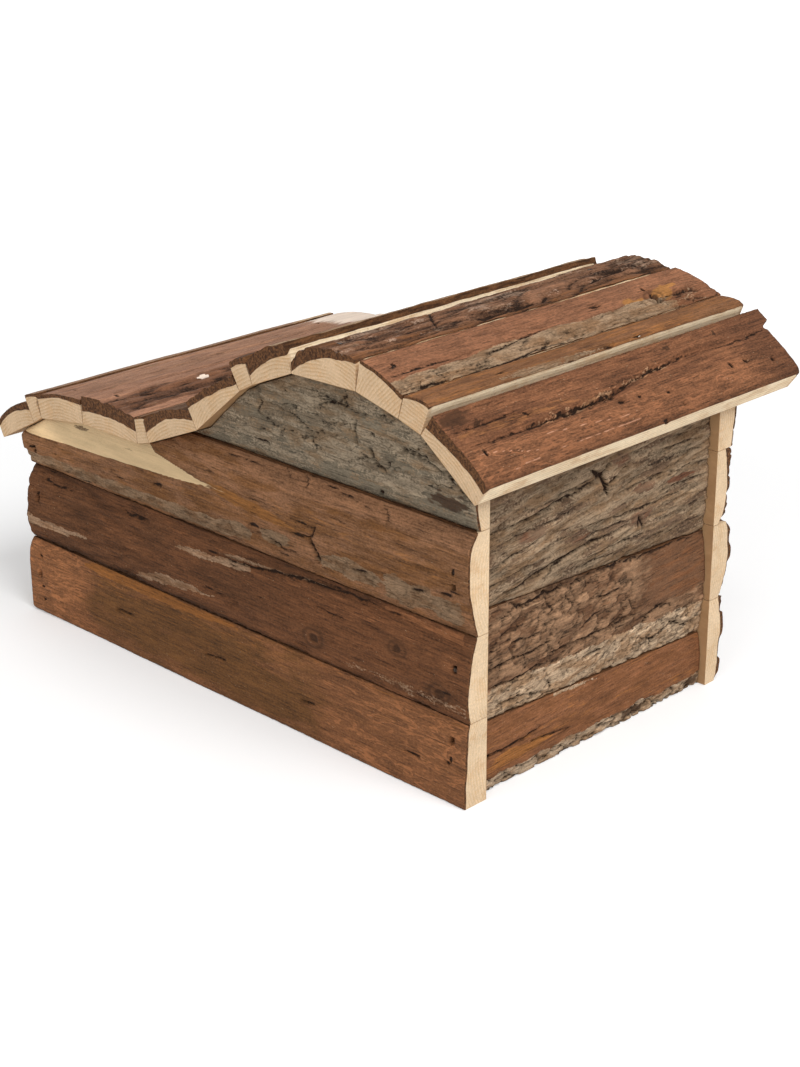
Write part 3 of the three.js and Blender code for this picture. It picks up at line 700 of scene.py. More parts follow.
def wall_board(node, slot, outward):
    """A board of a long wall, cut to the roof line and to the doorway's arch."""
    low, high = box(node)
    inner = low[1] if outward > 0 else high[1]
    tall_side = box("front_bottom_board_tall_side")[1][0]
    low_side = box("front_bottom_board_low_side")[0][0]
    middle, radius = (tall_side + low_side) / 2, (low_side - tall_side) / 2
    spring = DOORWAY_HEIGHT - radius

    def place(s, t, height):
        z = between(low[2], high[2], t)
        arch = np.sqrt(np.maximum(radius ** 2 - np.maximum(z - spring, 0) ** 2, 0))
        left = middle + arch if node.endswith("low_side") else low[0]
        right = middle - arch if node.endswith("tall_side") else high[0]
        x = between(left, right, s)
        bottom = low[2]
        if node == "front_third_board":
            bottom = np.maximum(low[2], spring + np.sqrt(np.maximum(radius ** 2 - (x - middle) ** 2, 0)))
        top = np.maximum(np.minimum(high[2], roof_line(x) - SEAT_GAP), bottom + THINNEST)
        return x, inner + outward * height + 0 * x, between(bottom, top, t)

    size = high[0] - low[0], high[2] - low[2]
    board = Board(node, slot, place, size, (0, inner, 0), ((1, 0, 0), (0, 0, 1)), (0, outward, 0))
    board.highest = abs(cad_box[outward > 0][1] / MM - inner)
    return board


def end_board(node, slot, outward):
    """A board of an end wall, between two seams that may slope, or up to the roof line."""
    low, high = box(node)
    inner = low[0] if outward > 0 else high[0]
    flat = [point for point in corners_of(node) if abs(point[0] - inner) < ROUNDING]
    front, rear = [[point[2] for point in flat if abs(point[1] - y) < ROUNDING] for y in (low[1], high[1])]

    def place(s, t, height):
        y = between(low[1], high[1], s)
        x = inner + outward * height + 0 * y
        top = roof_line(x) - SEAT_GAP if node.endswith("top_board") else between(max(front), max(rear), s)
        return x, y, between(between(min(front), min(rear), s), top, t)

    size = high[1] - low[1], high[2] - low[2]
    return Board(node, slot, place, size, (inner, 0, 0), ((0, 1, 0), (0, 0, 1)), (outward, 0, 0))


def roof_strip(node, slot, front=((0, 0), (1, 0))):
    """A strip of the roof. front lists how far its front end is cut back, at shares of its width."""
    low, high = box(node)
    start, end, run, outward, leans = SEATS[node]
    width = np.linalg.norm(end - start)

    def place(s, t, height):
        across = t * width + height * between(leans[0], leans[1], t)
        cut = np.interp(t, [point[0] for point in front], [point[1] for point in front])
        x = start[0] + run[0] * across + outward[0] * height
        return x, between(low[1] + cut, high[1], s), start[1] + run[1] * across + outward[1] * height

    size = high[1] - low[1], width
    directions = (0, 1, 0), (run[0], 0, run[1])
    board = Board(node, slot, place, size, (start[0], 0, start[1]), directions, (outward[0], 0, outward[1]))
    board.bark_steps = 4
    board.side_bark = 0.5
    # Dull sawn ends, and long sides paler than clean wood: new wood, with painted light on these shaded
    # faces.
    board.fresh_and_painted_light = (0.0, 2.0)
    return board


# Materials, as nodes.

class Shader:
    """Builds a material or the world. Each method adds a node and returns what it gives, as in a formula."""

    def __init__(self, owner):
        self.owner = owner
        owner.use_nodes = True
        self.tree = owner.node_tree
        self.tree.nodes.clear()

    def add(self, kind, inputs, output=0, **settings):
        """One node, with numbers or other nodes' outputs at its inputs."""
        node = self.tree.nodes.new("ShaderNode" + kind)
        for name, value in settings.items():
            setattr(node, name, value)
        for key, value in inputs.items():
            socket = node.inputs[key]
            if isinstance(value, bpy.types.NodeSocket):
                self.tree.links.new(value, socket)
            else:
                socket.default_value = (*value, 1.0) if socket.type == "RGBA" else value
        return node.outputs[output] if node.outputs else None

    def math(self, operation, first, second=0.0):
        """What a sum, a product or the like gives."""
        return self.add("Math", {0: first, 1: second}, operation=operation)

    def ramp(self, value, low, high):
        """Eases from 0 to 1 as the value goes from low to high."""
        limits = {0: value, 1: low, 2: high, 3: 0.0, 4: 1.0}
        return self.add("MapRange", limits, interpolation_type="SMOOTHSTEP")

    def sum(self, base, *terms):
        """The base plus each value's distance from a half, times its weight."""
        total = base
        for value, weight in terms:
            part = self.add("Math", {0: value, 1: weight, 2: -weight / 2}, operation="MULTIPLY_ADD")
            total = self.math("ADD", total, part)
        return total

    def both(self, first, second):
        """The product of two values, which shows where both do."""
        return self.math("MULTIPLY", first, second)

    def blend(self, share, first, second):
        """A colour between two."""
        return self.add("Mix", {0: share, 6: first, 7: second}, 2, data_type="RGBA")

    def shade(self, colour, light):
        """A colour made lighter or darker."""
        return self.add("VectorMath", {0: colour, 3: light}, operation="SCALE")

    def stored(self, name):
        """What the mesh keeps under a name, as one vector for each point."""
        return self.add("Attribute", {}, 1, attribute_name=name)

    def parts(self, name):
        """Three numbers that the mesh keeps for each point."""
        return self.add("SeparateXYZ", {0: self.stored(name)}).node.outputs

    def place(self):
        """The place in the piece, in millimetres."""
        return self.shade(self.add("TexCoord", {}, 3), 1 / MM)

    def seen(self):
        """One for rays that show the camera something, and zero for those that carry light."""
        rays = self.add("LightPath", {}).node.outputs
        seen = self.math("MAXIMUM", rays["Is Camera Ray"], rays["Is Glossy Ray"])
        return self.math("MAXIMUM", seen, rays["Is Transmission Ray"])

    def shifted(self, vector, offset):
        """The place moved aside, for noise of its own."""
        return self.add("VectorMath", {0: vector, 1: (offset, offset, offset)}, operation="ADD")

    def stretched(self, vector, along, across):
        """The place, scaled along and across the grain."""
        return self.add("VectorMath", {0: vector, 1: (along, across, across)}, operation="MULTIPLY")

    def noise(self, vector, along, across, detail=2.0, twist=0.0):
        """Noise with this many bumps per millimetre along and across the grain."""
        place = self.stretched(vector, along, across)
        inputs = {"Vector": place, "Scale": 1.0, "Detail": detail, "Roughness": 0.6, "Distortion": twist}
        return self.add("TexNoise", inputs)

    def crackle(self, vector, along, across):
        """The distance to the nearest crack between flakes."""
        inputs = {"Vector": self.stretched(vector, along, across), "Scale": 1.0}
        return self.add("TexVoronoi", inputs, feature="DISTANCE_TO_EDGE")

    def finish(self, colour, roughness, relief, relief_depth, metallic=0.0, gloss=0.15):
        """Joins everything in a shader. relief_depth is in millimetres."""
        bump = self.add("Bump", {"Strength": 1.0, "Distance": relief_depth * MM, "Height": relief})
        inputs = {"Base Color": colour, "Roughness": roughness, "Metallic": metallic, "Normal": bump,
                  "Specular IOR Level": gloss}
        surface = self.add("BsdfPrincipled", inputs)
        self.add("OutputMaterial", {0: surface})
        return self.owner


def linear(colour):
    """A colour as it shows on screen, from 0 to 255, as the shader needs it."""
    parts = [part / 255 for part in colour]
    return tuple(p / 12.92 if p <= 0.04045 else ((p + 0.055) / 1.055) ** 2.4 for p in parts)


# What marks the back of a board as aged wood with painted shade, and the width of a year ring.
AGED_AND_SHADED = -1.0
RING_WIDTH = 1.5

# Colours as they show on screen, for what several boards share. The rings' colours are those of late wood.
SPLIT_COLOUR = (40, 25, 15)
# The dark colour of stains and of the painted shade in furrows.
STAIN_AND_SHADE_COLOUR = (62, 41, 27)
FLECK = (184, 154, 122)
CRUST_SHADE = (0.86, 0.8, 0.74)
LINE_LIGHT = 1.32
# The palest sawn wood also stands for painted light on the roof strips' shaded long sides.
DULL_WOOD, CLEAN_WOOD, NEW_WOOD_AND_PAINTED_LIGHT = (210, 180, 145), (222, 195, 161), (246, 224, 190)
DULL_RING, CLEAN_RING = (180, 142, 100), (205, 173, 133)
WOOD_BLOTCH, WOOD_DOT = (208, 170, 128), (150, 108, 72)
# The backs' colours are partly aged wood and partly painted shade.
AGED_SHADED_DARK, AGED_SHADED_PALE = (150, 112, 76), (196, 158, 116)
RIM_DARK, RIM_PALE = (62, 39, 23), (110, 74, 46)
STEEL, RUST = (72, 62, 54), (54, 38, 28)
GLUE_DARK, GLUE_PALE = (232, 214, 188), (246, 236, 218)
FLOOR_COLOUR = (240, 240, 240)


def bark_material(node, first, second, orange=(146, 94, 54), grey=(120, 98, 76), pale=(206, 174, 138),
                  roughness=0.85, lines=0.0, contrast=1.0):
    """Bark. first and second are its two tones, and orange, grey and pale the colours of its layers.

    lines is how strongly fine paler lines show, and contrast how strongly the fibres do.
    """
    shader = Shader(bpy.data.materials.new(node + "_bark"))
    grain = shader.stored("grain")
    grey_share, orange_share, pale_share = shader.parts("layers")
    relief_for_painted_light = shader.parts("form")[2]
    split, stain_and_shade, tone = shader.parts("damage_and_shade")
    flame = shader.noise(grain, 0.03, 0.11, 4, 0.6)
    streak = shader.noise(grain, 0.03, 0.62, 4)
    fibre = shader.noise(grain, 0.11, 1.5, 4)
    speck = shader.noise(grain, 0.75, 1.2, 4)
    patch = shader.noise(grain, 0.1, 0.32, 5, 0.5)
    cloud = shader.noise(shader.shifted(grain, 61.0), 0.06, 0.2, 4, 0.3)

    share = shader.ramp(shader.sum(tone, (flame, 1.5), (patch, 0.9)), 0.2, 0.8)
    colour = shader.blend(share, linear(first), linear(second))
    contrasts = (streak, 1.1 * contrast), (fibre, 1.2 * contrast), (speck, 1.3 * contrast)
    light = shader.sum(1.0, *contrasts, (cloud, 0.9))
    colour = shader.shade(colour, light)
    wave = shader.math("FRACT", shader.both(shader.sum(flame, (patch, 0.16)), 8.0))
    line = shader.ramp(shader.math("ABSOLUTE", shader.math("SUBTRACT", wave, 0.5)), 0.22, 0.04)
    line = shader.both(line, shader.both(shader.ramp(tone, 0.5, 0.8), shader.ramp(cloud, 0.4, 0.54)))
    brighter = [min(255, part * LINE_LIGHT) for part in second]
    colour = shader.blend(shader.both(line, lines), colour, linear(brighter))

    glow = shader.ramp(shader.sum(orange_share, (fibre, 1.1), (patch, 0.9)), 0.3, 0.75)
    glow_light = shader.sum(1.0, (streak, 1.5), (fibre, 1.4), (speck, 0.9))
    colour = shader.blend(glow, colour, shader.shade(linear(orange), glow_light))

    crust = shader.ramp(shader.sum(grey_share, (patch, 1.2), (speck, 0.9)), 0.42, 0.58)
    shaded = [part * share for part, share in zip(grey, CRUST_SHADE)]
    tan = shader.blend(shader.ramp(cloud, 0.42, 0.62), linear(grey), linear(shaded))
    tan = shader.shade(tan, shader.sum(1.12, (streak, 1.0), (patch, 1.0), (speck, 1.6), (fibre, 1.0)))
    twisted = shader.add("VectorMath", {0: grain, 1: shader.noise(grain, 0.3, 0.5, 3)})
    crack = shader.crackle(twisted, 0.13, 0.36)
    crackled = shader.both(shader.ramp(crack, 0.03, 0.0), shader.ramp(patch, 0.46, 0.6))
    tan = shader.blend(shader.both(crackled, 0.4), tan, linear(SPLIT_COLOUR))
    colour = shader.blend(crust, colour, tan)
    # The pale layer: bare wood, and on the pinkish roof strips also a painted highlight.
    wood = shader.ramp(shader.sum(pale_share, (fibre, 0.5), (patch, 0.3)), 0.4, 0.6)
    wood_light = shader.sum(1.0, (streak, 0.4), (flame, 0.6), (speck, 0.2))
    colour = shader.blend(wood, colour, shader.shade(linear(pale), wood_light))

    bare = shader.math("SUBTRACT", 1.0, wood)
    hair = shader.both(shader.ramp(shader.noise(shader.shifted(grain, 23.0), 0.09, 1.3, 3), 0.56, 0.68), bare)
    colour = shader.shade(colour, shader.math("SUBTRACT", 1.0, shader.both(hair, 0.42)))
    fleck = shader.both(shader.ramp(shader.noise(shader.shifted(grain, 37.0), 0.9, 1.5, 2), 0.66, 0.74), bare)
    fleck = shader.both(fleck, shader.ramp(patch, 0.45, 0.6))
    colour = shader.blend(shader.both(fleck, 0.5), colour, linear(FLECK))
    # Painted shade where the bark lies low and painted light where it stands high.
    colour = shader.shade(colour, shader.sum(1.0, (shader.ramp(relief_for_painted_light, -0.8, 0.8), 0.5)))

    gap = shader.sum(split, (speck, 0.8), (fibre, 0.8))
    # Painted shade beside the splits, and a painted highlight on their raised lips.
    near = shader.both(shader.ramp(gap, 1.9, 0.0), 0.4)
    colour = shader.shade(colour, shader.math("SUBTRACT", 1.0, near))
    lip_painted_highlight = shader.both(shader.ramp(gap, 0.1, 0.45), shader.ramp(gap, 1.3, 0.6))
    colour = shader.shade(colour, shader.math("ADD", 1.0, shader.both(lip_painted_highlight, 0.5)))
    # Stains, and the painted shade in furrows, in a dark colour with its own grain.
    gloom = shader.ramp(shader.sum(stain_and_shade, (speck, 1.0), (fibre, 0.7)), 0.25, 0.8)
    dark = shader.shade(linear(STAIN_AND_SHADE_COLOUR), shader.sum(1.0, (speck, 2.0), (fibre, 1.6), (streak, 1.0)))
    colour = shader.blend(shader.both(gloom, 0.85), colour, dark)
    core = shader.ramp(gap, 0.14, -0.12)
    colour = shader.blend(core, colour, linear(SPLIT_COLOUR))

    rough = shader.sum(roughness, (fibre, 0.35), (streak, 0.2))
    rough = shader.math("ADD", rough, shader.both(crust, 0.1))
    relief = shader.sum(0.5, (fibre, 1.1), (speck, 1.2), (streak, 0.7), (hair, -0.35), (core, -1.2))
    relief = shader.math("SUBTRACT", relief, shader.both(shader.both(crackled, crust), 0.6))
    return shader.finish(colour, rough, relief, 0.34)


def sawn_material():
    """Pale sawn wood with faint year rings, under a dark layer of bark; its palest tone is also painted light
    on the roof strips' shaded long sides, and its flat backs carry painted shade.
    """
    shader = Shader(bpy.data.materials.new("sawn_wood"))
    grain = shader.stored("grain")
    side, high, _ = shader.parts("form")
    depth, bark, fresh_and_painted_light = shader.parts("under")
    wander = shader.noise(grain, 0.02, 0.05, 2)
    fibre = shader.noise(grain, 0.12, 1.6, 4)
    speck = shader.noise(grain, 1.0, 1.0, 4)
    blotch = shader.noise(grain, 0.06, 0.12, 4, 0.4)

    radius = shader.math("SQRT", shader.math("ADD", shader.both(side, side), shader.both(high, high)))
    ring = shader.sum(shader.math("DIVIDE", radius, RING_WIDTH), (wander, 2.0), (blotch, 0.6), (speck, 0.3))
    ring = shader.math("FRACT", ring)
    late = shader.both(shader.ramp(ring, 0.2, 0.9), shader.ramp(ring, 1.0, 0.9))
    pale = shader.blend(fresh_and_painted_light, linear(DULL_WOOD), linear(CLEAN_WOOD))
    # Above 1, paler new wood that is also painted light on the roof strips' shaded long sides.
    pale = shader.blend(shader.ramp(fresh_and_painted_light, 1.0, 2.0), pale, linear(NEW_WOOD_AND_PAINTED_LIGHT))
    late_colour = shader.blend(fresh_and_painted_light, linear(DULL_RING), linear(CLEAN_RING))
    late = shader.both(late, shader.both(shader.ramp(speck, 0.3, 0.6), shader.ramp(blotch, 0.3, 0.6)))
    colour = shader.blend(late, pale, late_colour)
    colour = shader.blend(shader.both(shader.ramp(blotch, 0.5, 0.7), 0.6), colour, linear(WOOD_BLOTCH))
    colour = shader.shade(colour, shader.sum(1.0, (fibre, 0.5), (speck, 0.55), (wander, 0.3)))
    dot = shader.ramp(shader.noise(shader.shifted(grain, 19.0), 0.7, 0.9, 3), 0.64, 0.72)
    colour = shader.blend(shader.both(dot, 0.5), colour, linear(WOOD_DOT))

    # The flat backs: brown aged wood, darkened further as painted shade.
    aged_and_shaded = shader.blend(blotch, linear(AGED_SHADED_DARK), linear(AGED_SHADED_PALE))
    colour = shader.blend(shader.ramp(fresh_and_painted_light, -0.1, -0.9), colour, aged_and_shaded)

    layer = shader.noise(grain, 0.1, 0.9, 4)
    wear = shader.sum(bark, (speck, 0.15), (blotch, 0.2))
    rim = shader.ramp(shader.math("SUBTRACT", wear, depth), -0.1, 0.1)
    rim_colour = shader.blend(shader.ramp(layer, 0.35, 0.65), linear(RIM_DARK), linear(RIM_PALE))
    rim_colour = shader.shade(rim_colour, shader.sum(1.0, (speck, 1.6), (fibre, 1.2)))
    colour = shader.blend(rim, colour, rim_colour)
    rough = shader.sum(0.75, (fibre, 0.2))
    relief = shader.sum(0.5, (fibre, 0.5), (late, 0.2), (speck, 0.5))
    relief = shader.sum(relief, (shader.both(rim, layer), 1.5))
    return shader.finish(colour, rough, relief, 0.16)


def steel_material():
    """Brad steel, dulled and a little rusty."""
    shader = Shader(bpy.data.materials.new("brad_steel"))
    place = shader.place()
    rust = shader.ramp(shader.noise(place, 1.2, 1.2, 3), 0.45, 0.65)
    scratch = shader.noise(place, 6.0, 6.0, 2)
    colour = shader.blend(rust, linear(STEEL), linear(RUST))
    rough = shader.sum(0.6, (scratch, 0.3), (rust, 0.3))
    return shader.finish(colour, rough, shader.sum(0.5, (scratch, 0.6), (rust, 0.4)), 0.05, metallic=0.4)


def glue_material():
    """A bead of dried wood glue."""
    shader = Shader(bpy.data.materials.new("dried_glue"))
    cloud = shader.noise(shader.place(), 0.9, 0.9, 3)
    colour = shader.blend(cloud, linear(GLUE_DARK), linear(GLUE_PALE))
    return shader.finish(colour, shader.sum(0.4, (cloud, 0.2)), cloud, 0.1)


def floor_material():
    """A pale floor that shows white to the camera, and keeps the object's soft shadow."""
    shader = Shader(bpy.data.materials.new("floor"))
    place = shader.place()
    cloud = shader.noise(place, 0.004, 0.004, 3)
    colour = shader.shade(linear(FLOOR_COLOUR), shader.sum(1.0, (cloud, 0.02)))
    diffuse = shader.add("BsdfDiffuse", {"Color": colour})
    away = shader.add("VectorMath", {0: place}, 1, operation="LENGTH")
    strength = shader.math("ADD", FLOOR_GLOW, shader.both(shader.ramp(away, *FLOOR_FADE), 1 - FLOOR_GLOW))
    glow = shader.add("Emission", {"Strength": shader.both(shader.seen(), strength)})
    shader.add("OutputMaterial", {0: shader.add("AddShader", {0: diffuse, 1: glow})})
    return shader.owner


# What the bark of each board looks like.

def rear_bottom(skin):
    """Young smooth bark, olive-brown in the middle, pinkish at both ends, rubbed orange along the top."""
    skin.smooth_bark(0.8)
    skin.rounded(0.2)
    skin.bulge(2.2, 95, 138)
    skin.tone += 0.45 * smooth((skin.along - 85) / 20) + 0.4 * smooth((-50 - skin.along) / 25)
    skin.tone -= 0.35 * skin.spot(15, 16, 90, 14)
    rubbed = [(99, 34, 1), (86, 35, 3), (60, 35, 3.4), (20, 34.5, 2.4), (-10, 35.5, 0.8)]
    skin.show("orange", 0.95 * skin.band(rubbed))
    skin.show("orange", 0.35 * skin.band([(90, 29, 5), (40, 30, 6), (-40, 31, 3)], 1.5, 6))
    skin.show("orange", 0.5 * skin.band([(-20, 36, 0.4), (-60, 36, 0.7), (-145, 35.4, 0.7)], 0.5))
    skin.show("pale", 0.45 * skin.band([(66, 37.2, 0.25), (58, 36.4, 0.4), (46, 35, 0.2)], 0.2, 0.8))
    skin.show("pale", 0.4 * skin.band([(89, 27.5, 0.2), (84, 31.5, 0.35), (80, 34.5, 0.2)], 0.2, 0.8))
    skin.slits(((70, 18.5, 12), (6, 16.5, 13), (-54, 15, 8), (-115, 13.5, 9)))
    skin.slits(((131.5, 29, 2.6), (131.5, 13.5, 2.6), (131.5, 6.5, 2.6), (-135, 16.5, 2.6)), 0.9)


def rear_second(skin):
    """Dark old bark with flaking grey bands, two knots and crumbly edges."""
    skin.fibrous_bark(0.9)
    skin.rounded(0.2)
    skin.bulge(3.0, 95, 138)
    skin.tone -= 0.3 * smooth((skin.along - 60) / 50)
    skin.tone -= 0.25 * skin.spot(112, 60, 20, 9)
    skin.tone += 0.25 * smooth((-20 - skin.along) / 60)
    skin.furrows(0.6 * smooth((skin.along - 20) / 60), 7, 45, 0.8)
    for amount, ragged, line in (
            (0.75, 0.8, [(34, 62.5, 0.5), (20, 63.5, 1.8), (-12, 65, 1.6), (-20, 66, 0.4)]),
            (0.65, 0.6, [(4, 68, 0.4), (-10, 68.6, 1.2), (-40, 70.5, 1), (-70, 72.5, 0.6)]),
            (0.8, 1, [(60, 41, 0.6), (50, 42.5, 1.6), (38, 44, 2.2), (20, 45.5, 1.4), (5, 46, 0.4)]),
            (0.8, 1, [(140, 47, 2.5), (118, 46.5, 2), (95, 48, 1)]),
            (0.45, 1, [(-60, 42, 0.8), (-100, 42, 2), (-145, 41.5, 2.4)])):
        skin.grey += amount * skin.band(line, ragged)
    skin.orange = 0.8 * skin.band([(-100, 73.5, 0.8), (-120, 73, 1.8), (-143, 73, 3)], 0.6)
    skin.orange += 0.3 * skin.band([(30, 70, 2), (-60, 68, 4), (-140, 60, 5)], 2, 5)
    skin.cracks((
        ([(2, 66), (-6, 66.3), (-20, 67), (-40, 70), (-58, 71.5), (-78, 72.2)], 0.8, 1.1),
        ([(-60, 74), (-90, 72.6), (-112, 72.3)], 0.5, 0.8),
        ([(126, 69.5), (112, 69), (104, 70)], 1.1, 0.8, 1.2, 0.12),
        ([(68, 69.5), (56, 69), (48, 69.8)], 1.1, 0.8, 1.2, 0.12),
        ([(12, 48.6), (-10, 48.2)], 0.6, 0.7, 1.2, 0.18),
        ([(-60, 61.5), (-76, 61)], 0.6, 0.6, 1.0, 0.18)))
    for along, across, radius in ((-58, 46.5, 5.4), (-107, 57.5, 4.6), (-130, 45.5, 5)):
        skin.knot(along, across, radius)
    skin.crumble(1.1, 0.6)


def rear_third(skin):
    """Orange-brown fibrous bark with a grey foot, a red cracked upper part, and a cut that bares the wood."""
    skin.fibrous_bark(0.8)
    skin.rounded(0.2)
    skin.bulge(3.4, 95, 138)
    x = skin.along
    foot = [(140, 80, 2.8), (90, 79.5, 2.6), (40, 80, 2.8), (0, 80.5, 3.2), (-20, 82, 2.4)]
    skin.grey = 0.95 * skin.band(foot, 0.8)
    skin.spots("grey", 0.85, ((-36, 85, 11, 3.6), (-80, 84, 20, 4.6), (-114, 84, 17, 6), (-135, 83, 11, 5),
                              (-10, 83, 12, 3)))
    skin.plates(0.7 * np.clip(skin.grey, 0, 1), 11, 5, 0.9)
    skin.orange = 0.8 * skin.band([(8, 98, 0.6), (-2, 97.5, 2), (-24, 94, 2.4), (-48, 92, 0.6)], 1, 3)
    skin.orange += 0.35 * skin.band([(100, 87, 3), (0, 92, 4), (-60, 100, 5), (-140, 96, 5)], 2, 6)
    red = smooth((skin.across - 107) / 3) * smooth((-5 - x) / 20)
    skin.tone += 0.4 * red
    skin.plates(0.55 * red, 8, 5, 0.7, 0.3)
    lower = np.interp(x, (7, 18, 30, 60, 100, 140), (96.8, 95.5, 94.5, 93, 91.5, 91))
    upper = np.interp(x, (7, 11, 18, 30, 42, 60), (97, 97.8, 99, 101.3, 103.5, 120))
    inside = np.minimum(skin.across - lower, upper - skin.across) + 0.2 * skin.noise(16, 3, 91)
    cut = smooth(inside / 0.9 + 0.4)
    skin.pale = cut
    skin.relief += cut * (-0.5 - 0.6 * skin.relief) - 0.35 * np.exp(-((inside + 0.3) / 0.5) ** 2) * (x > 6)
    skin.show("pale", 0.46 * skin.band([(22, 97, 1.5), (6, 97, 1.4), (-5, 97.4, 0.4)], 0.5, 1.5))
    skin.stain_and_shade *= 1 - cut
    skin.split += SPLIT_REACH * cut
    skin.darken(0.7 * skin.spot(95, 102, 6, 1.2))
    skin.darken(0.55 * skin.spot(61, 100.2, 4, 0.6))
    skin.grey *= 1 - cut
    skin.cracks((
        ([(-56, 91), (-59, 87), (-63, 81.5)], 1.3, 1.6, 0.5),
        ([(-46, 90.5), (-56, 91)], 0.7, 1.0, 0.5),
        ([(-60, 96.5), (-58, 92), (-56, 91)], 0.6, 0.9, 0.5),
        ([(-44, 96), (-60, 96.3)], 0.4, 0.6, 0.7)))
    for ends in (((-13, 115.5), (-31, 115.3)), ((-68, 116.6), (-92, 113.8)), ((-44, 118.5), (-47, 112.5)),
                 ((-56, 118), (-55, 112)), ((-100, 117), (-103, 110)), ((-24, 85), (-50, 81))):
        skin.crack(ends, 0.55, 0.8, 1.1, 0.09)
    skin.slits(((-86, 85, 9), (-22, 87, 7), (42, 88.5, 7), (131, 85, 4), (-118, 86, 7), (-134, 89, 6)), 0.8)
    skin.crumble(0.5, 0.25)


def rear_gable(skin):
    """Old grey bark in broad plates, with a smoother blue-grey foot."""
    skin.smooth_bark(0.8)
    skin.rounded(0.6)
    skin.gloom = 0.5
    foot = smooth((131 - skin.across + 1.5 * skin.noise(30, 4, 92)) / 3)
    skin.grey = 0.55 + 0.3 * skin.noise(30, 7, 93)
    skin.plates(1 - foot, 16, 8, 1.2, 0.25)
    skin.plates(0.45 * (1 - foot), 7, 3.5, 0.6, 0.1)
    skin.orange = 0.7 * smooth((-1 - skin.along) / -8) * smooth((130 - skin.across) / 6)
    skin.tone += 0.5 * foot
    patch = skin.spot(-133, 128, 11, 3.4, 0.5)
    skin.darken(0.8 * patch)
    skin.grey -= patch
    skin.cracks((
        ([(-44, 144), (-52, 140.5), (-61, 137)], 0.5, 1.1, 1.2, 0.06),
        ([(-85, 149), (-84, 144), (-86, 139)], 0.5, 1.0, 0.8, 0.06),
        ([(-91, 139), (-96, 134), (-104, 129)], 0.6, 1.0, 1.2, 0.06),
        ([(-108, 144), (-122, 141.5), (-136, 138)], 0.4, 1.0, 1.4, 0.06),
        ([(-60, 156), (-68, 153), (-80, 152)], 0.4, 1.0, 1.2, 0.06),
        ([(-24, 127), (-34, 126.4)], 0.5, 0.7)))
    skin.slits(((-99, 122, 2.6),), 1.1)
    skin.crumble(0.55, 0.3)


def tall_top(skin):
    """Thick grey bark with long furrows that rise towards the front, and a scar like a bird's foot."""
    skin.flow = skin.across + 0.085 * skin.along
    skin.smooth_bark(0.8)
    skin.furrows(0.9, 3.4, 38, 0.75, -0.02)
    skin.scales(0.3 * skin.strew(40, 12, 0.6, 94), 12, 4, 0.5)
    skin.gloom = 0.4
    skin.grey = 0.65 + 0.35 * skin.noise(26, 6, 95)
    skin.orange = 0.85 * skin.spot(-36, 103, 9, 1.6)
    skin.spots("orange", 0.45, ((-12, 105, 8, 2.2), (30, 95, 9, 3), (5, 121, 6, 3), (-10, 92, 10, 3),
                                (60, 104, 8, 2.4)))
    skin.grey -= skin.orange
    skin.crack([(84, 110.5), (60, 111.4), (40, 113), (18, 116.5)], 0.65, 0.7, 0.7)
    skin.crack([(78, 83), (60, 84.5), (48, 86), (40, 88.5), (20, 89.5), (2, 90.5)], 0.6, 0.7, 0.8)
    skin.hairlines((
        ((64, 117), (62, 114), (40, 115.5), (20, 117.5)), ((84, 95), (72, 98), (60, 100.5), (46, 103)),
        ((80, 104.5), (62, 106), (40, 107), (28, 108.5)), ((30, 98), (10, 97), (-10, 96.5), (-52, 96)),
        ((10, 107), (-5, 107.5), (-20, 108.4), (-36, 110.5)), ((0, 117.5), (-20, 118.3), (-50, 118)),
        ((-2, 121), (-30, 121.6), (-50, 122)), ((50, 82.5), (44, 86), (36, 88.5)),
        ((24, 84), (4, 84.6), (-16, 84)), ((34, 93), (12, 93.6), (-6, 93)),
        ((-20, 101), (-40, 100.2), (-55, 100.6)), ((-26, 106.6), (-42, 107.2), (-55, 106)),
        ((-14, 80.4), (-34, 80.2), (-52, 81.2)), ((44, 81.4), (20, 81), (-4, 79.6)),
        ((84, 89), (70, 90.6), (52, 91)), ((58, 95), (44, 97), (34, 96.6)),
        ((-12, 88.6), (-30, 88), (-54, 89)), ((-6, 113), (-24, 113.6), (-50, 112.6))))
    scar = skin.spot(13, 115, 6, 6)
    skin.relief += 0.5 * scar
    skin.tone -= 0.3 * scar
    skin.cracks((
        ([(12.5, 107.5), (15, 112), (17.5, 117)], 1.3, 1.7, 0.6),
        ([(0, 117.4), (8, 114.5), (15, 112)], 0.9, 1.4, 0.6),
        ([(12, 121.5), (17.5, 117), (24, 121)], 0.9, 1.4, 0.6)))
    skin.knot(78, 113, 2.6)
    skin.crack([(-8, 88), (-9, 92), (-12, 86)], 0.8, 1.1)
    skin.pale = 0.4 * skin.spot(-40, 95, 9, 3)
    skin.crumble(0.6, 0.0)


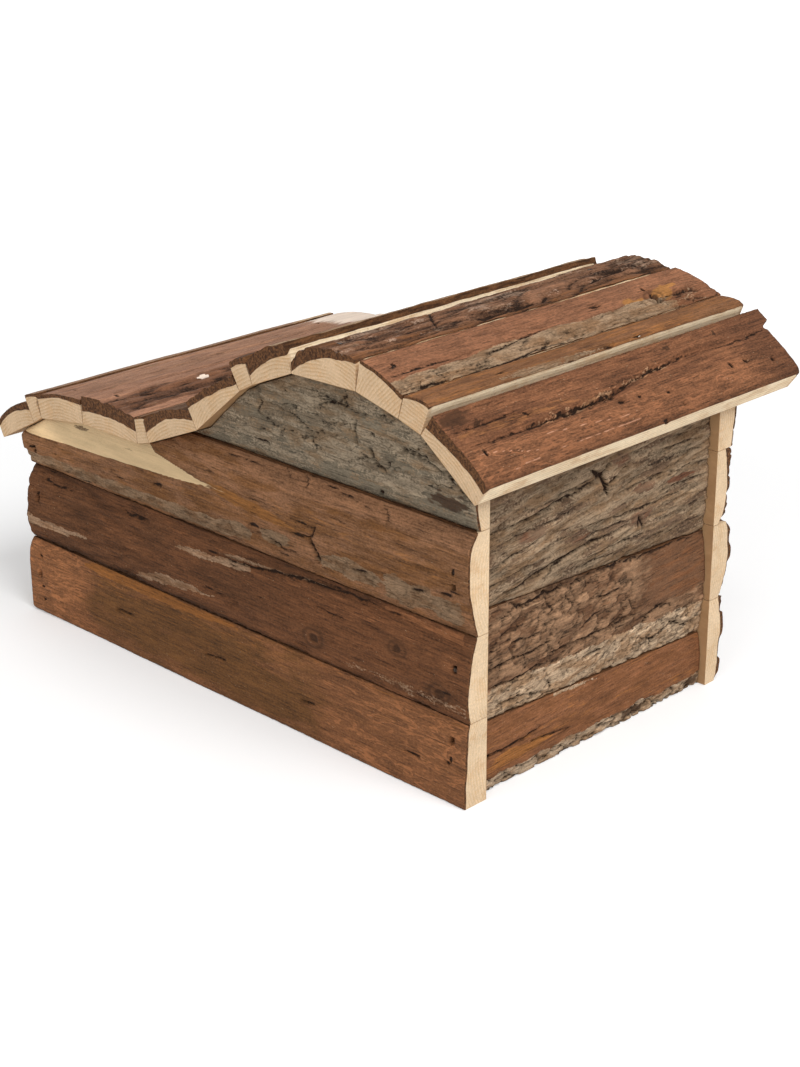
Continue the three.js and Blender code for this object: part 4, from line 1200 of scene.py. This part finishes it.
def tall_middle(skin):
    """Scaly brown bark over a band of cracked grey, red and smooth towards the front."""
    skin.flow = skin.across + 0.05 * skin.along
    skin.smooth_bark(0.8)
    skin.gloom = 0.5
    front = smooth((-4 - skin.along) / 22) * smooth((skin.across - 47) / 5)
    skin.scales(0.95 * (1 - front), 6.5, 3.2, 0.9)
    skin.tone += 0.1 - 0.5 * front
    ends = (-50, 0, 90)
    middle = np.interp(skin.along, ends, (33.5, 35.5, 38.2))
    half = np.interp(skin.along, ends, (8, 7.8, 7))
    band = smooth((half - abs(skin.across + 1.2 * skin.noise(14, 6, 96) - middle)) / 2 + 0.5)
    skin.grey = 0.95 * band
    skin.plates(0.8 * band, 8, 5, 1.0, 0.4)
    skin.pale = 0.4 * skin.spot(60, 73, 12, 1.6)
    skin.pale += 0.4 * band * skin.strew(10, 3, 0.3, 97)
    skin.orange = 0.4 * front + 0.35 * skin.strew(26, 5, 0.3, 98) * (1 - band)
    skin.cracks((
        ([(86, 54), (70, 54.4), (58, 53.6), (48, 55)], 0.5, 1.0, 0.8),
        ([(50, 49), (30, 49), (18, 49.4), (0, 49.6), (-7, 49)], 0.6, 1.1, 0.8),
        ([(-10, 38), (-14, 34.4), (-22, 33.4), (-34, 36.6), (-42, 33), (-52, 31)], 0.6, 1.0, 1.0)))
    skin.hairlines((
        ((84, 45.4), (70, 45), (56, 46.2), (48, 45)), ((38, 72), (36, 69), (33, 66)),
        ((50, 72), (46, 68.4), (49, 65.5)), ((30, 54), (23, 57), (15, 58.4)),
        ((-2, 59), (-4, 54), (-8, 50)), ((-14, 46), (-24, 48), (-31, 47), (-31, 43.4)),
        ((80, 36), (66, 36.4), (56, 34), (50, 32)), ((46.5, 37.4), (46, 33)), ((24, 40.4), (10, 39.6)),
        ((-20, 34), (-20.5, 28.6)), ((-9, 36.6), (-9, 30.4)), ((-40, 36), (-45, 40.4)),
        ((72, 62), (60, 60.6), (52, 61.4)), ((20, 65), (10, 63.6), (3, 64.4)),
        ((78, 66), (70, 67.6))), 0.45, 0.8, 0.0)
    skin.cracks((
        ([(71, 79), (66, 75.5), (56, 75.6), (45, 75.2), (36, 75.8)], 0.9, 1.3, 1.0),
        ([(34, 75), (14, 75.6), (-4, 74.6), (-18, 73.6), (-34, 74), (-50, 72.6)], 0.6, 0.9, 1.0)))
    skin.crumble(0.5, 1.1, 3.4)


def tall_bottom(skin):
    """Smooth red bark over a rough grey live edge that stands on the floor."""
    skin.flow = skin.across + 0.03 * skin.along
    skin.smooth_bark(0.8)
    edge = smooth((6.4 - skin.across + 1.6 * skin.noise(12, 20, 99)) / 1.6)
    skin.grey = 0.95 * edge
    skin.plates(edge, 9, 4, 1.5, 0.8)
    skin.pale = 0.45 * edge * skin.strew(8, 3, 0.35, 100)
    skin.darken(0.8 * edge * skin.spot(-8, 3, 8, 2.4))
    skin.darken(0.7 * edge * skin.spot(-50, 3.5, 5, 3))
    skin.orange = 0.8 * skin.spot(66, 11.5, 20, 3.2)
    skin.show("orange", 0.35 * skin.strew(60, 4, 0.4, 101) * (1 - edge))
    skin.crack([(86, 16), (74, 16), (62, 16.4), (52, 18)], 0.7, 1.0, 0.7)
    skin.crack([(58, 13), (46, 12.4), (34, 10.8)], 0.35, 0.6, 0.7)
    skin.show("pale", 0.42 * skin.band([(40, 17.2, 0.15), (0, 16.6, 0.3), (-22, 17.4, 0.15)], 0.8, 0.9))
    skin.slits(((84, 15.8, 3),), 1.0)
    skin.show("grey", 0.6 * skin.band([(44, 29, 1.2), (30, 28.4, 1.6), (16, 27, 0.5)], 0.8))


def strip_13(skin):
    """Red bark split lengthwise by a long crumbly crack, with thin pinkish lines below it."""
    skin.smooth_bark(0.9)
    skin.tone += 0.3 * smooth((skin.across - 17) / 4)
    skin.orange = 0.5 * skin.band([(100, 12, 2), (70, 12, 3), (40, 11.5, 2), (20, 14, 1)], 1.2, 3)
    skin.relief += 4.4 * np.exp(-skin.low_gap / 9) - 1.3 * np.exp(-skin.high_gap / 0.9)
    beside = [(80, 15.5, 0.4), (60, 15.8, 1), (30, 15.5, 1.2), (0, 12, 0.8), (-30, 9.5, 0.8)]
    skin.grey = 0.45 * skin.band(beside, 1)
    skin.tone -= 0.5 * smooth((-60 - skin.along) / 35)
    skin.darken(0.3 * smooth((-88 - skin.along) / 14) * smooth((16 - skin.across) / 6))
    skin.cracks((
        ([(101, 17), (80, 17), (60, 17.2), (35, 16.6), (10, 16)], 0.6, 0.6, 0.9),
        ([(56, 17), (44, 16.6), (20, 15.8), (8, 15.4)], 1.0, 0.6, 1.6, 0.06),
        ([(10, 16), (0, 13), (-10, 11.4), (-24, 10.4), (-50, 9)], 0.7, 0.6, 0.9),
        ([(-50, 9), (-64, 11), (-80, 11), (-98, 10.6)], 0.5, 0.5, 0.9)))
    inside = [(64, 16.6, 1), (46, 16.4, 2.4), (16, 15.6, 2.2), (0, 12.6, 1), (-16, 11, 2), (-30, 10, 1)]
    crumbs = skin.band(inside, 1.2)
    skin.show("grey", crumbs * (0.42 + 0.3 * skin.noise(4, 2, 129)))
    skin.relief += crumbs * skin.noise(3, 1.6, 130)
    skin.split = np.minimum(skin.split, SPLIT_REACH - 2.0 * crumbs * (1 + 0.8 * skin.noise(4, 1.4, 131)))
    skin.darken(0.65 * skin.spot(95, 4, 9, 4, 0.5))
    skin.cracks((
        ([(100, 9), (84, 9), (62, 9.4)], 0.6, 0.8, 0.8),
        ([(62, 9.4), (60, 11), (60, 13)], 0.9, 0.9, 0.8),
        ([(16, 13.2), (0, 10.6), (-16, 8)], 0.4, 0.5, 1.2, 0.24)))
    crumbled = (95, 5, 3.5, 2.2), (85, 8, 2.5, 1.6), (-34, 3.5, 3, 1.4), (-66, 4, 1.5, 1.2)
    skin.spots("stain_and_shade", 0.8, crumbled, 0.8)
    for line in (((100, 21), (88, 22), (75, 26), (68, 27.5)), ((62, 22), (40, 24), (20, 26), (10, 27)),
                 ((60, 30), (30, 29.6), (0, 30)), ((88, 31), (70, 30.4)), ((-46, 22), (-54, 28))):
        skin.show("pale", 0.8 * skin.band([(a, b, 0.25) for a, b in line], 0.5, 0.8))
    skin.slits(((12, 20, 3.6), (1, 20.5, 2), (-15.5, 23, 2.4), (-60, 21, 2.4), (-70, 21.5, 2.8),
                (-86, 25, 2.6), (-5, 34, 2.6), (-19, 30, 1.6)), 0.95)
    skin.show("pale", 0.8 * skin.spot(-30, 10.4, 3, 0.7))


def strip_12(skin):
    """Orange-brown bark with a pale grain and a few slits."""
    skin.fibrous_bark(0.6)
    skin.orange = 0.5 * skin.strew(60, 3, 0.5, 102)
    skin.grey = 0.6 * skin.band([(62, 11, 1), (48, 11.5, 3), (20, 11.5, 2.5), (0, 12, 0.5)], 1, 2)
    skin.pale = 0.3 * skin.spot(-76, 12, 12, 3)
    skin.relief -= 0.9 * np.exp(-skin.high_gap / 0.8)
    skin.slits(((57, 5.5, 6), (67, 17.5, 6), (-3, 12, 7), (-22, 11, 5)), 0.8)


def strip_11(skin):
    """Smooth red bark beside a rough grey flaking band, with a knot near the front."""
    skin.smooth_bark(0.7)
    foot = np.interp(skin.along, (-97, 30, 100), (13, 12.5, 15))
    rough = smooth((skin.across + 1.2 * skin.noise(24, 8, 103) - foot) / 2)
    thin = smooth((skin.along + 75) / 25)
    skin.grey = rough * (0.35 + 0.55 * thin)
    skin.plates(rough, 16, 4, 0.6, 0.5, 0.12)
    skin.tone += 0.3 * (1 - rough)
    skin.cracks((
        ([(100, 13.4), (80, 13.2), (60, 13.2)], 0.7, 0.3, 0.8),
        ([(50, 17), (44, 15.5), (30, 14), (10, 13)], 0.6, 0.3, 0.8),
        ([(74, 23), (50, 23.4), (20, 22), (0, 22.8)], 1.0, 0.4, 1.2),
        ([(96, 23.4), (84, 22.6), (76, 23)], 0.8, 1.0, 1.2)))
    skin.pale = 0.35 * skin.band([(60, 16, 0.4), (30, 13, 1), (-6, 11.4, 0.5)], 0.8)
    skin.show("pale", 0.25 * skin.spot(-6, 7, 5, 3))
    skin.knot(-60, 14, 5)
    skin.crack([(-60, 18.5), (-60, 14), (-60, 10.5)], 1.0, 1.4, 0.6)
    skin.spots("orange", 0.9, ((-46, 15, 8, 4.6), (-67, 13.5, 7, 4.4), (-74, 10, 7, 1.4)))
    skin.crack([(-66, 16), (-74, 15), (-88, 17)], 0.6, 0.9, 1.0)
    skin.slits(((95, 8.4, 3.4), (-26, 8.8, 7)), 0.9)


def strip_10(skin):
    """Old bark with deep furrows, split across by a long crack, thin pinkish bark between."""
    skin.smooth_bark(0.8)
    skin.furrows(1.0, 4.4, 40, 0.9)
    skin.scales(0.3 * skin.strew(30, 9, 0.5, 104), 14, 5, 0.7)
    skin.grey = 0.36 + 0.4 * skin.noise(24, 7, 105)
    skin.gloom = 0.7
    between_edges = smooth((skin.across - 9) / 2) * smooth((28 - skin.across) / 2)
    skin.tone += 0.3 * smooth((24 - skin.along) / 30) * between_edges
    skin.orange = 0.6 * smooth((skin.across - 31) / 2.5)
    skin.spots("orange", 0.6, ((98, 12, 6, 9), (-97, 26, 5, 4), (40, 14, 4, 2), (62, 30, 12, 2)))
    skin.grey -= 0.7 * skin.orange
    skin.relief -= 5.2 * np.exp(-skin.low_gap / 6)
    skin.cracks((
        ([(30, 2), (34, 9), (41, 17), (47, 24), (51, 31)], 0.8, 0.6, 0.5),
        ([(34, 9), (30, 8), (30, 5)], 1.0, 0.8, 0.6),
        ([(40, 30), (28, 31.4), (10, 33), (-10, 32), (-26, 29.5)], 1.6, 0.5, 1.5),
        ([(-26, 29.5), (-50, 29), (-66, 27), (-92, 27)], 1.2, 0.5, 1.3),
        ([(-40, 11), (-60, 12), (-80, 11)], 1.0, 0.5, 1.3)))
    skin.darken(0.7 * skin.spot(-71, 21, 4, 2))


def strip_09(skin):
    """Pale weathered bark that stands higher than the next strip."""
    skin.smooth_bark(0.9)
    skin.furrows(0.4, 5, 40, 0.8)
    skin.grey = 0.5 + 0.3 * skin.noise(24, 5, 106)
    skin.relief += 2.6 * np.exp(-skin.high_gap / 7)


def dark_furrows(skin):
    """Dark thick bark with furrows."""
    skin.smooth_bark(0.9)
    skin.furrows(0.8, 4.5, 36, 0.75)
    skin.tone -= 0.3 * skin.strew(40, 8, 0.4, 108)
    skin.grey = 0.6 * skin.strew(30, 5, 0.25, 109)
    skin.pale = 0.35 * skin.strew(9, 2, 0.1, 110)


def pink_bark(skin):
    """Thin smooth pinkish bark with a slight gloss, and a painted highlight as a pale layer towards the far
    end.
    """
    skin.smooth_bark(0.7)
    skin.tone += 0.3
    skin.rounded(0.2)
    # Pale patches, and towards the far end a pale layer that is a painted highlight.
    skin.pale = 0.25 * skin.strew(50, 5, 0.3, 111) + 0.9 * smooth((-35 - skin.along) / 55)
    skin.grey = 0.4 * skin.strew(30, 3, 0.15, 112)
    fissure = skin.strew(36, 1.5, 0.12, 113)
    skin.relief -= 0.5 * fissure
    skin.darken(0.6 * fissure)


def strip_04(skin):
    """Pinkish bark, split by dark furrows along its middle."""
    pink_bark(skin)
    rough = smooth((skin.across - 11) / 5) * smooth((34 - skin.across) / 3)
    skin.furrows(rough, 4, 40, 0.9)
    skin.tone -= 0.6 * rough
    # Keeps pink_bark's painted highlight at the far end, weaker over the furrows, and adds a pale spot.
    skin.pale = np.maximum(skin.pale * (1 - 0.5 * rough), 0.9 * skin.spot(47, 18, 3.4, 1))


def lumps(skin, low, high, seed):
    """Thick broken lumps of bark near the wall's sawn end, as the photograph's outline shows."""
    near = smooth((-118 - skin.along) / 14)
    lump = smooth(0.5 + 2.5 * skin.noise(26, 9, seed, 1))
    edge = high * np.exp(-(skin.high_gap / 5) ** 4) + low * np.exp(-(skin.low_gap / 5) ** 4)
    skin.relief += near * (2.2 * lump + edge * 2.4 - 0.6)
    skin.darken(0.5 * near * (1 - lump))


def red_fibres(skin):
    """Reddish fibrous bark."""
    skin.fibrous_bark(0.9)
    skin.rounded(0.6)
    skin.orange = 0.4 * skin.strew(60, 6, 0.35, 114)
    skin.grey = 0.8 * skin.strew(50, 4, 0.15, 115)
    skin.crumble(0.5, 0.4)
    lumps(skin, 0.0, 0.4, 126)


def brown_scales(skin):
    """Dark scaly bark with a crumbly upper edge."""
    skin.smooth_bark(0.8)
    skin.rounded(0.6)
    skin.scales(0.9 * skin.strew(60, 20, 0.8, 116), 10, 5, 1.1)
    skin.grey = 0.9 * skin.strew(60, 6, 0.2, 117)
    skin.crumble(0.4, 1.0)
    lumps(skin, 0.0, 1.0, 127)


def red_smooth(skin):
    """Smooth red bark with a few slits."""
    skin.smooth_bark(0.9)
    skin.rounded(0.5)
    skin.orange = 0.5 * skin.strew(60, 6, 0.3, 118)
    skin.tone += 0.25 * skin.strew(50, 12, 0.5, 119)
    low, high = skin.across.min(), skin.across.max()
    for share, along in ((0.3, -80), (0.55, -10), (0.4, 70), (0.7, 110), (0.6, -50)):
        skin.slits(((along, between(low, high, share), 9),))
    skin.crumble(0.3, 0.3)
    lumps(skin, 0.0, 0.8, 128)


def grey_plates(skin):
    """Old grey bark in broken plates."""
    skin.smooth_bark(0.8)
    skin.rounded(0.6)
    skin.grey = 0.65 + 0.3 * skin.noise(30, 7, 120)
    skin.plates(1.0, 14, 7, 1.2, 0.35)
    skin.orange = 0.6 * skin.strew(30, 5, 0.15, 121)
    skin.crumble(0.5, 0.3)


# What two boards of the front wall share on both sides of the doorway.
FRONT_BOTTOM = (red_smooth, dict(first=(104, 72, 48), second=(126, 86, 60)), {})
FRONT_SECOND = (red_fibres, dict(first=(104, 70, 46), second=(128, 88, 60)), {})

# Each board's bark: its recipe, the two tones and the layers' colours, and then its thickness and year rings.
LOOKS = {
    "rear_bottom_board": (rear_bottom, dict(
        first=(105, 70, 39), second=(125, 82, 52), orange=(136, 87, 44),
        roughness=0.75, lines=0.8, contrast=1.2), {}),
    "rear_second_board": (rear_second, dict(
        first=(94, 61, 39), second=(106, 68, 43), orange=(138, 90, 58), grey=(142, 114, 90),
        contrast=1.2), {}),
    "rear_third_board": (rear_third, dict(
        first=(114, 76, 44), second=(136, 97, 69), orange=(136, 90, 48), grey=(130, 105, 81),
        pale=(229, 198, 153), contrast=1.2), {}),
    "rear_gable_board": (rear_gable, dict(
        first=(112, 97, 79), second=(116, 105, 88), grey=(136, 121, 101), orange=(112, 86, 62)), {}),
    "front_bottom_board_tall_side": FRONT_BOTTOM,
    "front_bottom_board_low_side": FRONT_BOTTOM,
    "front_second_board_tall_side": FRONT_SECOND,
    "front_second_board_low_side": FRONT_SECOND,
    "front_third_board": (brown_scales, dict(first=(92, 64, 44), second=(114, 80, 56)), {}),
    "front_gable_board": (grey_plates, dict(
        first=(104, 90, 74), second=(116, 102, 84), grey=(124, 112, 94)), {}),
    "tall_end_bottom_board": (tall_bottom, dict(
        first=(120, 78, 49), second=(137, 91, 61), orange=(150, 98, 52), grey=(172, 149, 124),
        lines=0.3), {}),
    "tall_end_middle_board": (tall_middle, dict(
        first=(112, 79, 56), second=(148, 114, 86), orange=(118, 78, 51), grey=(182, 156, 128)), {}),
    "tall_end_top_board": (tall_top, dict(
        first=(112, 88, 68), second=(130, 104, 82), orange=(112, 74, 54), grey=(145, 123, 99)), {}),
    "low_end_bottom_board": (brown_scales, dict(first=(96, 68, 48), second=(120, 86, 62)), {}),
    "low_end_top_board": (red_smooth, dict(first=(114, 76, 52), second=(132, 92, 66)), {}),
    "roof_strip_01": (pink_bark, dict(
        first=(130, 96, 72), second=(162, 128, 102), roughness=0.7),
        dict(bark=(2.3, 2.5, 4.0))),
    "roof_strip_02": (pink_bark, dict(
        first=(130, 96, 72), second=(156, 122, 96), roughness=0.7),
        dict(bark=(1.5, 1.5, 1.5), side_bark=4.0)),
    # The pale colour of these two strips is also that of the painted highlight towards their far end.
    "roof_strip_03": (pink_bark, dict(
        first=(124, 84, 60), second=(160, 118, 92), pale=(236, 216, 198), roughness=0.7),
        dict(bark=(2.0, 1.5, 2.9))),
    "roof_strip_04": (strip_04, dict(
        first=(114, 77, 55), second=(160, 116, 90), pale=(236, 216, 198), roughness=0.7),
        dict(bark=(7.0, 6.5, 6.4))),
    "roof_strip_05": (pink_bark, dict(
        first=(106, 76, 54), second=(130, 98, 74)),
        dict(bark=(1.0, 1.0, 1.0), side_bark=4.0)),
    "roof_strip_06": (dark_furrows, dict(
        first=(96, 68, 50), second=(124, 94, 72), grey=(136, 112, 90)),
        dict(bark=(5.6, 4.3, 5.0))),
    "roof_strip_07": (dark_furrows, dict(
        first=(100, 70, 50), second=(128, 94, 70), grey=(136, 112, 90)),
        dict(bark=(3.0, 3.6, 4.2))),
    "roof_strip_08": (dark_furrows, dict(
        first=(88, 62, 46), second=(112, 84, 64)),
        dict(bark=(3.0, 3.0, 3.0), side_bark=6.0)),
    "roof_strip_09": (strip_09, dict(
        first=(120, 92, 68), second=(146, 118, 92), grey=(150, 128, 104)),
        dict(bark=(6.0, 5.5, 3.0), side_bark=0.8)),
    "roof_strip_10": (strip_10, dict(
        first=(104, 70, 48), second=(132, 94, 70), orange=(120, 79, 50), grey=(152, 124, 104),
        contrast=1.3),
        dict(bark=(8.5, 4.2, 1.5), pith=(0.0, 24.0))),
    "roof_strip_11": (strip_11, dict(
        first=(118, 77, 52), second=(136, 92, 66), orange=(160, 110, 62), grey=(150, 124, 98),
        lines=0.4, contrast=1.2),
        dict(bark=(1.1, 1.4, 2.1), pith=(46.0, 20.0))),
    "roof_strip_12": (strip_12, dict(
        first=(118, 79, 51), second=(138, 95, 63), orange=(148, 98, 56), grey=(148, 122, 96)),
        dict(bark=(1.0, 1.0, 1.5))),
    "roof_strip_13": (strip_13, dict(
        first=(96, 62, 42), second=(117, 77, 52), orange=(128, 85, 52), grey=(146, 112, 84),
        pale=(176, 128, 100), lines=0.7, contrast=1.5),
        dict(bark=(2.8, 3.8, 3.5))),
}

# How far a strip's front end is cut back, at shares of its width from the side towards the low end.
FRONTS = {
    "roof_strip_11": ((0, 3.6), (1, 0.1)),
    "roof_strip_13": ((0, 0.1), (0.2, 0.2), (0.24, 5.4), (0.28, 6.4), (0.33, 5.4), (1, 5.8)),
}


# The studio, and the parts put together.

def camera():
    """The camera that took the photograph, turned to where it stood."""
    azimuth, elevation = math.radians(CAMERA_AZIMUTH), math.radians(CAMERA_ELEVATION)
    back = Vector((math.sin(azimuth) * math.cos(elevation),
                   -math.cos(azimuth) * math.cos(elevation), math.sin(elevation)))
    right = Vector((0, 0, 1)).cross(back).normalized()
    turn = Matrix((right, back.cross(right), back)).transposed().to_4x4()
    roll = Matrix.Rotation(math.radians(CAMERA_ROLL), 4, "Z")
    data = bpy.data.cameras.new("camera")
    data.sensor_width = SENSOR
    data.lens = FOCAL_PIXELS / PHOTO_HEIGHT * SENSOR
    data.clip_start, data.clip_end = CLIPPING
    piece = added("camera", data)
    piece.matrix_world = Matrix.Translation(Vector(CAMERA_PLACE) * MM) @ turn @ roll
    bpy.context.scene.camera = piece


def light(name, place, size, power):
    """A soft square lamp that looks at the middle of the house."""
    data = bpy.data.lights.new(name, "AREA")
    data.shape = "SQUARE"
    data.size = size
    data.energy = power
    aim = Vector(LAMP_AIM) - Vector(place)
    turn = aim.to_track_quat("-Z", "Y").to_matrix().to_4x4()
    added(name, data).matrix_world = Matrix.Translation(place) @ turn


def studio():
    """White surroundings, soft lamps and a pale floor."""
    bpy.context.scene.view_settings.view_transform = "Standard"
    world = bpy.data.worlds.new("studio")
    bpy.context.scene.world = world
    shader = Shader(world)
    strength = shader.add("MapRange", {0: shader.seen(), 3: AMBIENT, 4: 1.0})
    background = shader.add("Background", {0: (1, 1, 1), 1: strength})
    shader.add("OutputWorld", {0: background})
    for name, lamp in LAMPS.items():
        light(name, *lamp)
    mesh = bpy.data.meshes.new("floor")
    corners = [(x * FLOOR_REACH, y * FLOOR_REACH, 0) for x, y in ((-1, -1), (1, -1), (1, 1), (-1, 1))]
    mesh.from_pydata(corners, [], [(0, 1, 2, 3)])
    mesh.materials.append(floor_material())
    floor = added("floor", mesh)
    floor.location = FLOOR_PLACE


def glue_bead():
    """A bead of dried glue that was squeezed out on the sawn side of the twelfth strip."""
    rings, turns = BEAD_RINGS, BEAD_TURNS
    points = [(0.0, 0.0, 1.0)]
    for ring in range(1, rings + 1):
        lean = BEAD_LEAN * ring / rings
        for turn in range(turns):
            angle = 2 * math.pi * turn / turns
            wide = math.sin(lean) * (1 + 0.18 * math.sin(3 * angle + 1) + 0.1 * math.sin(5 * angle))
            points.append((wide * math.cos(angle), wide * math.sin(angle), math.cos(lean)))
    faces = [(0, 1 + turn, 1 + (turn + 1) % turns) for turn in range(turns)]
    for ring in range(rings - 1):
        for turn in range(turns):
            near, far = 1 + ring * turns + turn, 1 + ring * turns + (turn + 1) % turns
            faces.append((near, near + turns, far + turns, far))
    faces.append(tuple(1 + (rings - 1) * turns + turn for turn in reversed(range(turns))))
    mesh = bpy.data.meshes.new("glue_bead")
    places = np.array(BEAD_PLACE) + np.array(points) * BEAD_SIZE
    mesh.from_pydata(places * MM, [], faces)
    mesh.shade_smooth()
    mesh.materials.append(glue_material())
    piece = added("glue_bead", mesh)
    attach(piece, "root")


def make_board(node, slot):
    """The board that stands for a CAD node."""
    if node.startswith(("rear", "front")):
        return wall_board(node, slot, 1 if node.startswith("rear") else -1)
    if node.startswith(("tall", "low")):
        return end_board(node, slot, -1 if node.startswith("tall") else 1)
    return roof_strip(node, slot, FRONTS.get(node, ((0, 0), (1, 0))))


# The scene.

STRIPS = sorted(name for name in frame["nodes"] if name.startswith("roof_strip"))
BRADS = sorted(name for name in frame["nodes"] if "brad" in name)
SEATS = {name: seat_of(name) for name in STRIPS}

camera()
studio()
SAWN = sawn_material()
steel = steel_material()
for part in frame["record"]["subparts"]:
    node = part["node"]
    if node in BRADS:
        brad = frame["nodes"][node].data
        brad.materials.clear()
        brad.materials.append(steel)
        continue
    recipe, palette, settings = LOOKS[node]
    board = make_board(node, part["material_slot"])
    for name, value in settings.items():
        setattr(board, name, value)
    board.dress(recipe, bark_material(node, **palette))
glue_bead()
